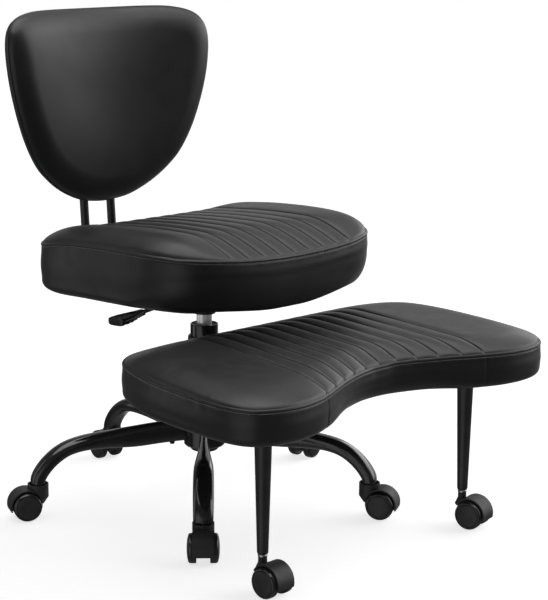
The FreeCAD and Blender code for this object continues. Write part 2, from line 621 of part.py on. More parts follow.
# ------------------------------------------------------------------ back
LEAN = 4.0
lean = math.radians(LEAN)
BACK_FOOT = Vector(0, 302.3, 514.0)
back_place = Placement(BACK_FOOT, about((1, 0, 0), -LEAN))
post_top = 140.0
top = back_place.multVec(Vector(0, 0, post_top))
corner = Vector(0, D["PostRear"].number, D["PostRun"].number)
rise = Vector(0, math.sin(lean), math.cos(lean))
posts = []
for side, name in ((1, "Left"), (-1, "Right")):
    body = new_body("Post" + name)
    path = new_sketch(body, "YZ_Plane", "PostPath" + name)
    bend = D["PostBend"].number
    reach = bend * math.tan((math.pi / 2 - lean) / 2)
    p0 = Vector(D["PostFront"].number, D["PostRun"].number, 0)
    p1 = Vector(corner.y - reach, corner.z, 0)
    p2 = Vector(corner.y + rise.y * reach, corner.z + rise.z * reach, 0)
    p3 = Vector(top.y, top.z, 0)
    centre = Vector(p1.x, p1.y + bend, 0)
    mid_dir = (p1 - centre).normalize() + (p2 - centre).normalize()
    mid = centre + mid_dir.normalize() * bend
    path.addGeometry(Part.LineSegment(p0, p1), False)
    path.addGeometry(Part.Arc(p1, mid, p2), False)
    path.addGeometry(Part.LineSegment(p2, p3), False)
    path.AttachmentOffset = at(0, 0, side * D["PostSpacing"])
    path.setExpression("AttachmentOffset.Base.z", (side * D["PostSpacing"]).text)
    mouth = new_sketch(body, "XZ_Plane", "PostMouth" + name)
    ring(mouth, side * D["PostSpacing"], D["PostRun"], D["PostRadius"])
    ring(mouth, side * D["PostSpacing"], D["PostRun"], D["PostRadius"] - D["PostWall"])
    mouth.AttachmentOffset = at(0, 0, -D["PostFront"])
    mouth.setExpression("AttachmentOffset.Base.z", (-D["PostFront"]).text)
    pipe = body.newObject("PartDesign::AdditivePipe", "PostTube" + name)
    pipe.Profile = mouth
    pipe.Spine = (path, ["Edge1", "Edge2", "Edge3"])
    body.Tip = pipe
    drills = []
    for i, height in enumerate((50.0, 115.0)):
        hole_at = back_place.multVec(Vector(side * D["PostSpacing"].number, 20, height))
        drills.append(cylinder("PostHole%s%d" % (name, i + 1), 2.7, 40,
                               Placement(hole_at, about((1, 0, 0), 90 - LEAN))))
    posts.append(cut("DrilledPost" + name, body, fuse("PostDrills" + name, drills)))
piece(group("BackPosts", posts), "back_posts")

bracket = new_body("BackBracket")
sk = new_sketch(bracket, "XY_Plane", "BracketOutline")
polygon(sk, [(-D["BracketHalf"], D["BracketFront"]), (D["BracketHalf"], D["BracketFront"]),
             (D["BracketHalf"], D["BracketRear"]), (-D["BracketHalf"], D["BracketRear"])])
pad(bracket, sk, "BracketSheet", D["SeatBoardBottom"] - D["PostRun"] - D["PostRadius"],
    D["PostRun"] + D["PostRadius"])
sk = new_sketch(bracket, "XY_Plane", "BracketHoles")
for hx, hy in bracket_holes:
    ring(sk, hx, hy, 3.3)
pocket(bracket, sk, "BracketDrilled", 20, D["SeatBoardBottom"] + 2)
piece(bracket, "back_bracket")

BACK = whole(BACK_HALF)
# shells about an upright axis in front of the chair, measured from the rear face forwards
rear_face = -7.3
axis_y = rear_face - (D["BackInner"] + D["BackFoam"] + D["BackBoard"] + D["BackPanel"]).number


def back_layer(name, outline, low, high, drilled):
    body = new_body(name + "_block")
    sk = new_sketch(body, "XZ_Plane", name + "_outline")
    closed_curve(sk, outline)
    pad(body, sk, name + "_pad", 400, None, False, True)
    tall = at(0, axis_y, -40)
    shell = cut(name + "_shell", cylinder(name + "_outside", high, 480, tall),
                cylinder(name + "_inside", low, 480, tall))
    layer = doc.addObject("Part::Common", name)
    layer.Base = body
    layer.Tool = shell
    if drilled:
        holes = []
        for sx in (1, -1):
            for height in (50.0, 115.0):
                holes.append(cylinder("%s_hole_%s_%d" % (name, "l" if sx > 0 else "r", height), 2.7,
                                      drilled, at(sx * D["PostSpacing"], 0, height, about((1, 0, 0), 90))))
        layer = cut(name + "_drilled", layer, fuse(name + "_holes", holes))
    layer.Placement = back_place
    return layer


front, mid_r = D["BackInner"], D["BackInner"] + D["BackFoam"]
rear_r = mid_r + D["BackBoard"]
piece(back_layer("BackFoamLayer", BACK, front, mid_r, None), "back_cushion")
piece(back_layer("BackPly", inset(BACK, 9.0), mid_r, rear_r, 22.0), "back_board")
piece(back_layer("BackSkin", inset(BACK, 5.0), rear_r, rear_r + D["BackPanel"], 30.0), "back_rear_panel")

back_screws = [screw("BracketBolt%d" % (i + 1), hx, hy, D["PostRun"] + D["PostRadius"], 6.0, 3.0, 13.0)
               for i, (hx, hy) in enumerate(bracket_holes)]
for sx in (1, -1):
    for height in (50.0, 115.0):
        shape = turned("PostBolt_%s_%d" % ("l" if sx > 0 else "r", height), [
            (0, -3.4), (3.2, -3.4), (4.8, -2.2), (4.8, 0.3), (2.5, 0.3), (2.5, 29.0), (0, 29.0)],
            back_place * at(sx * D["PostSpacing"], 8.4, height, about((1, 0, 0), 90)))
        back_screws.append(shape)
piece(group("BackBolts", back_screws), "back_bolts")

# ------------------------------------------------------------------ footrest
REST = whole(REST_HALF)
piece(cushion("RestFoam", REST, D["RestRim"], D["RestCrown"], D["RestEdgeRound"],
              D["RestBoardBottom"]), "footrest_cushion")
arm_holes = [(sx * 44.0, sy) for sx in (1, -1) for sy in (-190.0, -310.0)]
leg_holes = [(lx * D["RestLegX"] + sx * 24.0, D["RestLegY"] + sy * 24.0)
             for lx in (1, -1) for sx in (1, -1) for sy in (1, -1)]
piece(board("RestPly", REST, D["RestBoardBottom"], arm_holes + leg_holes, 2.6), "footrest_board")

bush_bore = D["TubeOuterRadius"] + D["RunningGap"]
piece(turned("RestBush", [
    (bush_bore, D["CollarBottom"] - 1.5), (D["CollarRadius"] - 1.0, D["CollarBottom"] - 1.5),
    (D["CollarRadius"] - 1.0, D["CollarBottom"]), (D["CollarBore"], D["CollarBottom"]),
    (D["CollarBore"], D["CollarTop"]), (D["CollarRadius"] - 1.0, D["CollarTop"]),
    (D["CollarRadius"] - 1.0, D["CollarTop"] + 1.5), (bush_bore, D["CollarTop"] + 1.5)]),
    "footrest_bush")

arm = turned("Collar", [
    (D["CollarBore"], D["CollarBottom"]), (D["CollarRadius"], D["CollarBottom"]),
    (D["CollarRadius"], D["CollarTop"]), (D["CollarBore"], D["CollarTop"])])
tube_out = box("ArmOutside", 2 * D["ArmHalf"], D["ArmReach"] - 28, D["ArmTop"] - D["ArmBottom"],
               at(-D["ArmHalf"], -D["ArmReach"], D["ArmBottom"]))
tube_hollow = box("ArmInside", 2 * D["ArmHalf"] - 4, D["ArmReach"] - 40, D["ArmTop"] - D["ArmBottom"] - 4,
                  at(2 - D["ArmHalf"], 2 - D["ArmReach"], D["ArmBottom"] + 2))
well = cylinder("ArmWell", D["CollarBore"], 60, at(0, 0, D["ArmBottom"].number - 20))
top_plate = new_body("ArmPlate")
sk = new_sketch(top_plate, "XY_Plane", "ArmPlateOutline")
polygon(sk, [(-58, -330), (58, -330), (58, -170), (-58, -170)])
pad(top_plate, sk, "ArmPlateSheet", D["RestBoardBottom"] - D["ArmTop"], D["ArmTop"])
sk = new_sketch(top_plate, "XY_Plane", "ArmPlateHoles")
for hx, hy in arm_holes:
    ring(sk, hx, hy, 2.8)
pocket(top_plate, sk, "ArmPlateDrilled", 20, D["RestBoardBottom"] + 2)
piece(fuse("RestArm", [arm, cut("ArmTube", cut("ArmShell", tube_out, tube_hollow), well), top_plate]),
      "footrest_arm")

rest_legs, leg_plates, rest_stems = [], [], []
for sx, name in ((1, "Left"), (-1, "Right")):
    place = at(sx * D["RestLegX"], D["RestLegY"], 0)
    rest_legs.append(turned("RestLeg" + name, [
        (4.0, D["RestLegBottom"]), (D["RestLegEndRadius"] - 2.4, D["RestLegBottom"]),
        (D["RestLegEndRadius"] - 0.6, D["RestLegBottom"] + 1.6),
        (D["RestLegEndRadius"], D["RestLegBottom"] + 4), (D["RestLegTopRadius"], D["RestLegTop"]),
        (D["RestLegTopRadius"] - 2, D["RestLegTop"]), (D["RestLegEndRadius"] - 2, 110),
        (4.0, 110)], place))
    body = new_body("LegPlate" + name)
    sk = new_sketch(body, "XY_Plane", "LegPlateOutline" + name)
    h = D["RestPlateHalf"]
    polygon(sk, [(-h, 10 - h), (10 - h, -h), (h - 10, -h), (h, 10 - h), (h, h - 10), (h - 10, h),
                 (10 - h, h), (-h, h - 10)])
    pad(body, sk, "LegPlateSheet" + name, D["RestBoardBottom"] - D["RestLegTop"], D["RestLegTop"])
    sk = new_sketch(body, "XY_Plane", "LegPlateHoles" + name)
    for hx in (24.0, -24.0):
        for hy in (24.0, -24.0):
            ring(sk, hx, hy, 2.8)
    pocket(body, sk, "LegPlateDrilled" + name, 20, D["RestBoardBottom"] + 2)
    body.Placement = place
    leg_plates.append(body)
    rest_stems.append(turned("RestStem" + name, [
        (0, D["StemBottom"]), (D["StemRadius"] - 1, D["StemBottom"]),
        (D["StemRadius"], D["StemBottom"] + 1), (D["StemRadius"], D["NeckTop"] + 0.6),
        (7.4, D["NeckTop"] + 0.6), (7.8, D["NeckTop"] + 1.2), (7.8, D["RestLegBottom"] - 0.6),
        (7.2, D["RestLegBottom"]), (4.0, D["RestLegBottom"]), (4.0, 92.0), (0, 92.0)], place))
piece(group("RestLegs", rest_legs), "footrest_legs")
piece(group("RestLegPlates", leg_plates), "footrest_leg_plates")
piece(group("RestStems", rest_stems), "footrest_caster_stems")
rest_screws = [screw("ArmScrew%d" % (i + 1), hx, hy, D["ArmTop"], 5.0, 2.5, 12.5)
               for i, (hx, hy) in enumerate(arm_holes)]
rest_screws += [screw("LegScrew%d" % (i + 1), hx, hy, D["RestLegTop"], 5.0, 2.5, 13.0)
                for i, (hx, hy) in enumerate(leg_holes)]
piece(group("RestScrews", rest_screws), "footrest_screws")

# ------------------------------------------------------------------ checks and export
doc.recompute()
bad = []
for obj in doc.Objects:
    if "Invalid" in obj.State or "Error" in obj.State:
        bad.append("%s (%s) %s" % (obj.Name, obj.Label, obj.State))
for obj in PIECES:
    if obj.Shape.isNull() or not obj.Shape.isValid() or not obj.Shape.Solids:
        bad.append("%s has no sound solid" % obj.Label)
if bad:
    raise RuntimeError("; ".join(bad[:20]))
for obj in PIECES:
    obj.Shape.exportStep(os.path.join("parts", obj.Label + ".step"))
    print("%-32s solids %2d volume %10.0f" % (obj.Label, len(obj.Shape.Solids), obj.Shape.Volume))
print("pieces", len(PIECES))
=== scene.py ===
import json
import math
import bpy
import bmesh
import numpy as np
from mathutils import Matrix, Vector, geometry

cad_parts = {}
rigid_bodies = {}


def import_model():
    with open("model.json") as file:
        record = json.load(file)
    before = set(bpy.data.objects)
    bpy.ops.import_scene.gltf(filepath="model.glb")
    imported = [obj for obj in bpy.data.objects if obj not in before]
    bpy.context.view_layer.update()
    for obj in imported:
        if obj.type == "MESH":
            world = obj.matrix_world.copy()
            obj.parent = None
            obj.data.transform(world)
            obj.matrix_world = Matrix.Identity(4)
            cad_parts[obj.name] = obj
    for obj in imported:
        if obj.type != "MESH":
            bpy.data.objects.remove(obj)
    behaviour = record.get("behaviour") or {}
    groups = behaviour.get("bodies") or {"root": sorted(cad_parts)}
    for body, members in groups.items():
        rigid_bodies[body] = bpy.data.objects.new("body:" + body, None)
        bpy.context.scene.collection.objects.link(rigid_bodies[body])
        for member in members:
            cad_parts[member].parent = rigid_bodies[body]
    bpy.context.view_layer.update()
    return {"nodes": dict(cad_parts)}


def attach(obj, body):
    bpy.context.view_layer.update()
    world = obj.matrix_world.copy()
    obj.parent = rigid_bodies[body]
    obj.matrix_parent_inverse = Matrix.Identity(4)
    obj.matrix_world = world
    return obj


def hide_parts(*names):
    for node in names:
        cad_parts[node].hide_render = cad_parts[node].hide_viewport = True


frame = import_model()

NODES = frame["nodes"]
SCENE = bpy.context.scene
MM = 0.001

# ------------------------------------------------------------------ camera, at the photograph's angle
CAM_DISTANCE, CAM_HEIGHT = 3.241167, 1.07670
HEADING, PAN, PITCH, ROLL = (math.radians(v) for v in (41.546, 2.1959, 12.2784, 0.3634))


def into_part(v):
    c, s = math.cos(HEADING), math.sin(HEADING)
    return Vector((v[0] * c + v[1] * s, -v[0] * s + v[1] * c, v[2]))


look = Vector((math.sin(PAN) * math.cos(PITCH), math.cos(PAN) * math.cos(PITCH), -math.sin(PITCH)))
right = Vector((math.cos(PAN), -math.sin(PAN), 0.0))
above = right.cross(look)
right, above = (math.cos(ROLL) * right + math.sin(ROLL) * above,
                -math.sin(ROLL) * right + math.cos(ROLL) * above)
cam_data = bpy.data.cameras.new("camera")
cam_data.sensor_width = 36.0
cam_data.lens = 1861.515 * 36.0 / 600.0
cam_data.clip_end = 60.0
camera = bpy.data.objects.new("camera", cam_data)
SCENE.collection.objects.link(camera)
axes = [into_part(right), into_part(above), into_part(-look)]
where = into_part((0.0, -CAM_DISTANCE, CAM_HEIGHT))
camera.matrix_world = Matrix(((axes[0].x, axes[1].x, axes[2].x, where.x),
                              (axes[0].y, axes[1].y, axes[2].y, where.y),
                              (axes[0].z, axes[1].z, axes[2].z, where.z),
                              (0.0, 0.0, 0.0, 1.0)))
SCENE.camera = camera


# ------------------------------------------------------------------ materials
class Mat:
    """Principled material with small helpers for procedural detail."""

    def __init__(self, name, color, rough, metal=0.0, spec=0.5, coat=0.0, coat_rough=0.1, sheen=0.0):
        self.mat = bpy.data.materials.new(name)
        self.mat.use_nodes = True
        self.tree = self.mat.node_tree
        self.bsdf = self.tree.nodes["Principled BSDF"]
        self.set("Base Color", (*color, 1.0))
        self.set("Roughness", rough)
        self.set("Metallic", metal)
        self.set("Specular IOR Level", spec)
        self.set("Coat Weight", coat)
        self.set("Coat Roughness", coat_rough)
        self.set("Sheen Weight", sheen)
        self.coords = self.tree.nodes.new("ShaderNodeTexCoord")
        self.normal = None

    def set(self, socket, value):
        self.bsdf.inputs[socket].default_value = value

    def node(self, kind, **values):
        n = self.tree.nodes.new(kind)
        for key, value in values.items():
            if key in n.inputs:
                n.inputs[key].default_value = value
            else:
                setattr(n, key, value)
        return n

    def link(self, a, b):
        self.tree.links.new(a, b)

    def noise(self, scale, detail=3.0, rough=0.55, stretch=None):
        n = self.node("ShaderNodeTexNoise")
        n.inputs["Scale"].default_value = scale
        n.inputs["Detail"].default_value = detail
        n.inputs["Roughness"].default_value = rough
        self.link(self.space(stretch), n.inputs["Vector"])
        return n.outputs["Fac"]

    def space(self, stretch=None):
        if stretch is None:
            return self.coords.outputs["Object"]
        m = self.node("ShaderNodeMapping")
        m.inputs["Scale"].default_value = stretch
        self.link(self.coords.outputs["Object"], m.inputs["Vector"])
        return m.outputs["Vector"]

    def cells(self, scale, feature="F1", smooth=None):
        n = self.node("ShaderNodeTexVoronoi")
        n.feature = feature
        n.inputs["Scale"].default_value = scale
        self.link(self.coords.outputs["Object"], n.inputs["Vector"])
        return n.outputs["Distance"]

    def spread(self, fac, low, high, a=0.3, b=0.7):
        n = self.node("ShaderNodeMapRange")
        n.inputs["From Min"].default_value = a
        n.inputs["From Max"].default_value = b
        n.inputs["To Min"].default_value = low
        n.inputs["To Max"].default_value = high
        self.link(fac, n.inputs["Value"])
        return n.outputs["Result"]

    def tint(self, fac, low, high, a=0.3, b=0.7):
        n = self.node("ShaderNodeValToRGB")
        n.color_ramp.elements[0].position = a
        n.color_ramp.elements[0].color = (*low, 1.0)
        n.color_ramp.elements[1].position = b
        n.color_ramp.elements[1].color = (*high, 1.0)
        self.link(fac, n.inputs["Fac"])
        self.link(n.outputs["Color"], self.bsdf.inputs["Base Color"])

    def roughen(self, fac, low, high, a=0.3, b=0.7):
        self.link(self.spread(fac, low, high, a, b), self.bsdf.inputs["Roughness"])

    def bump(self, fac, strength, distance):
        n = self.node("ShaderNodeBump")
        n.inputs["Strength"].default_value = strength
        n.inputs["Distance"].default_value = distance
        self.link(fac, n.inputs["Height"])
        if self.normal is not None:
            self.link(self.normal, n.inputs["Normal"])
        self.normal = n.outputs["Normal"]
        self.link(self.normal, self.bsdf.inputs["Normal"])


def leather(name, low, high, rough_low, rough_high):
    m = Mat(name, high, rough_low, spec=0.42, sheen=0.03)
    m.tint(m.noise(9.0, 4.0), low, high)
    m.roughen(m.noise(34.0, 5.0), rough_low, rough_high)
    m.bump(m.noise(26.0, 3.0), 0.10, 0.0012)
    m.bump(m.cells(640.0), 0.24, 0.00026)
    m.bump(m.noise(1900.0, 2.0), 0.10, 0.00012)
    return m.mat


M = {}
M["leather"] = leather("black_leather", (0.0052, 0.0051, 0.0055), (0.0078, 0.0077, 0.0081), 0.34, 0.43)
M["leather_back"] = leather("black_leather_rear", (0.0052, 0.0051, 0.0055), (0.0078, 0.0077, 0.0081), 0.36, 0.46)

# black thread given a grey base colour, far lighter than black thread is: a painted highlight, so the stitch rows read
# light as if catching the light
m = Mat("black_thread_painted_highlight", (0.11, 0.11, 0.113), 0.5, sheen=0.2)
m.bump(m.noise(2600.0, 2.0, 0.5, (1.0, 1.0, 1.0)), 0.4, 0.0001)
M["thread"] = m.mat

m = Mat("gloss_black_paint", (0.008, 0.008, 0.0085), 0.16, spec=0.5, coat=0.5, coat_rough=0.06)
m.tint(m.noise(14.0), (0.0065, 0.0065, 0.007), (0.0105, 0.0105, 0.011))
m.roughen(m.noise(60.0, 4.0), 0.13, 0.22)
m.bump(m.noise(420.0, 2.0), 0.05, 0.00015)
M["gloss"] = m.mat

m = Mat("satin_black_paint", (0.012, 0.012, 0.0125), 0.36, spec=0.5)
m.tint(m.noise(18.0), (0.0095, 0.0095, 0.01), (0.0155, 0.0155, 0.016))
m.roughen(m.noise(75.0, 4.0), 0.31, 0.42)
m.bump(m.noise(900.0, 2.0), 0.10, 0.0001)
M["satin"] = m.mat

m = Mat("chrome_plate", (0.95, 0.95, 0.96), 0.12, metal=0.3, spec=1.0)
m.roughen(m.noise(240.0, 3.0, 0.5, (1.0, 1.0, 0.06)), 0.04, 0.11)
M["chrome"] = m.mat

m = Mat("zinc_steel", (0.56, 0.56, 0.58), 0.3, metal=1.0)
m.tint(m.noise(90.0, 4.0), (0.48, 0.48, 0.50), (0.64, 0.64, 0.66))
m.roughen(m.noise(160.0, 4.0), 0.22, 0.38)
M["zinc"] = m.mat

m = Mat("black_zinc_screw", (0.035, 0.035, 0.038), 0.34, metal=0.9)
m.roughen(m.noise(300.0, 3.0), 0.26, 0.44)
m.tint(m.noise(200.0, 3.0), (0.028, 0.028, 0.031), (0.05, 0.05, 0.054))
M["screw"] = m.mat

m = Mat("charcoal_plastic", (0.024, 0.024, 0.0255), 0.5, spec=0.45)
m.tint(m.noise(45.0), (0.011, 0.011, 0.0118), (0.017, 0.017, 0.0178))
m.roughen(m.noise(120.0, 4.0), 0.44, 0.57)
m.bump(m.noise(1500.0, 3.0), 0.30, 0.00012)
M["charcoal"] = m.mat

m = Mat("gloss_wheel_plastic", (0.010, 0.010, 0.0105), 0.12, spec=0.6)
m.roughen(m.noise(140.0, 4.0), 0.08, 0.16)
m.tint(m.noise(60.0), (0.008, 0.008, 0.0085), (0.013, 0.013, 0.0138))
M["rim"] = m.mat

m = Mat("nylon_tread", (0.011, 0.011, 0.0115), 0.42, spec=0.4)
m.roughen(m.noise(200.0, 5.0), 0.36, 0.55)
m.bump(m.noise(700.0, 4.0), 0.15, 0.0001)
M["tread"] = m.mat

m = Mat("matte_wheel_cap", (0.014, 0.014, 0.0145), 0.46, spec=0.45)
m.tint(m.noise(55.0), (0.011, 0.011, 0.0115), (0.018, 0.0178, 0.0175))
m.roughen(m.noise(130.0, 4.0), 0.40, 0.52)
m.bump(m.noise(1700.0, 3.0), 0.22, 0.0001)
M["cap"] = m.mat

m = Mat("glossy_grip", (0.010, 0.010, 0.0105), 0.26, spec=0.5)
m.tint(m.noise(70.0), (0.008, 0.008, 0.0085), (0.013, 0.013, 0.0136))
m.roughen(m.noise(180.0, 4.0), 0.20, 0.34)
m.bump(m.noise(900.0, 2.0), 0.10, 0.0001)
M["grip"] = m.mat

m = Mat("black_nylon", (0.014, 0.014, 0.015), 0.42, spec=0.45)
m.roughen(m.noise(150.0, 4.0), 0.36, 0.5)
m.bump(m.noise(1200.0, 2.0), 0.12, 0.0001)
M["nylon"] = m.mat

m = Mat("black_dust_cloth", (0.016, 0.016, 0.017), 0.85, spec=0.2, sheen=0.25)
m.tint(m.noise(700.0, 3.0), (0.011, 0.011, 0.012), (0.022, 0.022, 0.023))
wave_a = m.node("ShaderNodeTexWave", wave_type="BANDS", bands_direction="X")
wave_a.inputs["Scale"].default_value = 240.0
wave_b = m.node("ShaderNodeTexWave", wave_type="BANDS", bands_direction="Y")
wave_b.inputs["Scale"].default_value = 240.0
for wave in (wave_a, wave_b):
    m.link(m.coords.outputs["Object"], wave.inputs["Vector"])
    m.bump(wave.outputs["Fac"], 0.35, 0.0002)
M["cloth"] = m.mat

m = Mat("plywood", (0.42, 0.29, 0.17), 0.62, spec=0.3)
m.tint(m.noise(22.0, 5.0, 0.6, (1.0, 6.0, 30.0)), (0.30, 0.19, 0.10), (0.52, 0.37, 0.22))
m.bump(m.noise(260.0, 4.0, 0.6, (1.0, 8.0, 8.0)), 0.2, 0.0002)
M["ply"] = m.mat


def dress(name, material, smooth=38.0):
    """Finish on a CAD node; normals are smoothed over its gentle edges."""
    obj = NODES[name]
    obj.data.materials.clear()
    obj.data.materials.append(material)
    for p in obj.data.polygons:
        p.use_smooth = True
        p.material_index = 0
    return obj


# ------------------------------------------------------------------ mesh helpers
def new_object(name, verts, faces, materials, indices=None, smooth=True):
    mesh = bpy.data.meshes.new(name)
    mesh.from_pydata([tuple(v) for v in verts], [], [tuple(f) for f in faces])
    for mat in materials:
        mesh.materials.append(mat)
    if indices is not None:
        mesh.polygons.foreach_set("material_index", np.asarray(indices, np.int32))
    mesh.polygons.foreach_set("use_smooth", np.full(len(mesh.polygons), smooth, bool))
    mesh.validate()
    mesh.update()
    obj = bpy.data.objects.new(name, mesh)
    SCENE.collection.objects.link(obj)
    return obj


def outward(obj):
    """Faces turned to point out of a closed mesh."""
    bm = bmesh.new()
    bm.from_mesh(obj.data)
    bmesh.ops.recalc_face_normals(bm, faces=bm.faces)
    bm.to_mesh(obj.data)
    bm.free()
    obj.data.update()


def ring_curve(points, step, soften):
    """Smooth closed curve near the points, evenly spaced, running anticlockwise."""
    p = np.array(points, float)
    area = np.sum(p[:, 0] * np.roll(p[:, 1], -1) - np.roll(p[:, 0], -1) * p[:, 1])
    if area < 0:
        p = p[::-1]
    a, b, c, d = np.roll(p, 1, 0), p, np.roll(p, -1, 0), np.roll(p, -2, 0)
    t = np.linspace(0, 1, 40, endpoint=False)[None, :, None]
    m1, m2 = (c - a)[:, None] / 2, (d - b)[:, None] / 2
    q0, q1 = b[:, None], c[:, None]
    s = ((2 * t ** 3 - 3 * t ** 2 + 1) * q0 + (t ** 3 - 2 * t ** 2 + t) * m1
         + (-2 * t ** 3 + 3 * t ** 2) * q1 + (t ** 3 - t ** 2) * m2).reshape(-1, 2)

    def even(curve, n):
        closed = np.vstack([curve, curve[:1]])
        run = np.concatenate([[0], np.cumsum(np.linalg.norm(np.diff(closed, axis=0), axis=1))])
        u = np.linspace(0, run[-1], n, endpoint=False)
        return np.stack([np.interp(u, run, closed[:, k]) for k in (0, 1)], 1), run[-1]

    n = 2048
    s, length = even(s, n)
    k = np.fft.fftfreq(n, length / n) * 2 * math.pi
    low = np.exp(-0.5 * (k * soften) ** 2)
    s = np.stack([np.real(np.fft.ifft(np.fft.fft(s[:, j]) * low)) for j in (0, 1)], 1)
    count = int(round(length / step))
    s, length = even(s, count)
    return s


def ring_normals(s):
    t = np.roll(s, -1, 0) - np.roll(s, 1, 0)
    t /= np.linalg.norm(t, axis=1)[:, None]
    return np.stack([t[:, 1], -t[:, 0]], 1)


def inside(points, loop):
    """Even-odd test of points against a closed loop."""
    x, y = points[:, 0], points[:, 1]
    hit = np.zeros(len(points), bool)
    a, b = loop, np.roll(loop, -1, 0)
    for (ax, ay), (bx, by) in zip(a, b):
        if ay == by:
            continue
        cross = ((ay > y) != (by > y)) & (x < (bx - ax) * (y - ay) / (by - ay) + ax)
        hit ^= cross
    return hit


def edge_fields(points, loop, values):
    """Distance to the loop, eased so it has no ridge in the middle, and loop values carried inwards."""
    dist = np.empty(len(points))
    out = [np.empty(len(points)) for _ in values]
    nxt = np.roll(loop, -1, 0)
    seg = nxt - loop
    seg2 = np.sum(seg ** 2, 1)
    for lo in range(0, len(points), 1500):
        q = points[lo:lo + 1500]
        rel = q[:, None] - loop[None]
        t = np.clip(np.sum(rel * seg[None], 2) / seg2[None], 0, 1)
        d = np.linalg.norm(rel - t[..., None] * seg[None], axis=2)
        near = d.min(1)
        soft = (np.sum(np.sqrt(seg2)[None] / (d ** 2 + 0.3) ** 2, 1) * 2 / math.pi) ** (-1 / 3)
        dist[lo:lo + 1500] = near + (soft - near) * ease((near - 4.0) / 14.0)
        w = 1.0 / (d ** 2 + 1.0) ** 1.6
        w /= w.sum(1)[:, None]
        for k, v in enumerate(values):
            out[k][lo:lo + 1500] = w @ v
    return dist, out


def along(x, table):
    xs, ys = zip(*table)
    return np.interp(x, xs, ys)


def ease(t):
    t = np.clip(t, 0, 1)
    return t * t * (3 - 2 * t)


def smooth_table(x, table, width):
    """Table lookup rounded over a width, so no slope breaks show."""
    offs = np.linspace(-1, 1, 9) * width
    wts = np.exp(-0.5 * (np.linspace(-2, 2, 9)) ** 2)
    return sum(w * along(x + o, table) for o, w in zip(offs, wts)) / wts.sum()


class Cover:
    """Sewn cover: a panel inside a closed seam, a boxing strip round it, and a folded underside."""

    def __init__(self, outline, step, soften, rings=(1.0, 2.4, 4.2, 6.4, 8.8, 11.4, 14.2)):
        self.loop = ring_curve(outline, step, soften)
        self.norm = ring_normals(self.loop)
        self.verts = []
        self.faces = []
        self.rings = rings

    def panel(self, columns, rows, height, lean=None, clear=1.7):
        pts = []
        for y in rows:
            s = 1.0 if lean is None else lean(y)
            for x in columns:
                pts.append((x * s, y))
        pts = np.array(pts)
        pts = pts[inside(pts, self.loop)]
        d, _ = edge_fields(pts, self.loop, [])
        pts = pts[d > self.rings[-1] + clear]
        n = len(self.loop)
        rows = []
        for k, deep in enumerate(self.rings):
            edge = np.roll(self.loop, -1, 0) if k % 2 else self.loop
            half = (self.loop + edge) / 2
            turn = self.norm + (np.roll(self.norm, -1, 0) if k % 2 else self.norm)
            turn /= np.linalg.norm(turn, axis=1)[:, None]
            rows.append(half - turn * deep)
        every = [Vector(p) for p in np.vstack([self.loop] + rows + [pts])]
        edges = [(i, (i + 1) % n) for i in range(n)]
        co, _, tris, orig, _, _ = geometry.delaunay_2d_cdt(every, edges, [], 1, 1e-5)
        first = {}
        for new, olds in enumerate(orig):
            for old in olds:
                first[old] = new
        flat = np.array([tuple(c) for c in co])
        z = height(flat)
        base = len(self.verts)
        self.verts += [(x, y, h) for (x, y), h in zip(flat, z)]
        self.faces += [tuple(base + i for i in t) for t in tris]
        self.rim = [base + first[i] for i in range(n)]
        self.panel_faces = len(self.faces)
        return flat, z

    def band(self, rows):
        """Rows below the seam: each row is (outward offset, height) arrays round the loop."""
        n = len(self.loop)
        ring = self.rim
        for off, z in rows:
            off = np.broadcast_to(off, n)
            z = np.broadcast_to(z, n)
            base = len(self.verts)
            p = self.loop + self.norm * off[:, None]
            self.verts += [(a[0], a[1], b) for a, b in zip(p, z)]
            new = list(range(base, base + n))
            for i in range(n):
                j = (i + 1) % n
                self.faces.append((ring[i], new[i], new[j], ring[j]))
            ring = new
        self.last = ring

    def close(self, z):
        """Flat middle of the underside."""
        n = len(self.loop)
        pts = [Vector((self.verts[i][0], self.verts[i][1])) for i in self.last]
        edges = [(i, (i + 1) % n) for i in range(n)]
        co, _, tris, orig, _, _ = geometry.delaunay_2d_cdt(pts, edges, [], 1, 1e-5)
        self.top_faces = len(self.faces)
        back = {new: self.last[olds[0]] for new, olds in enumerate(orig) if olds}
        for t in tris:
            if all(i in back for i in t):
                self.faces.append(tuple(back[i] for i in reversed(t)))


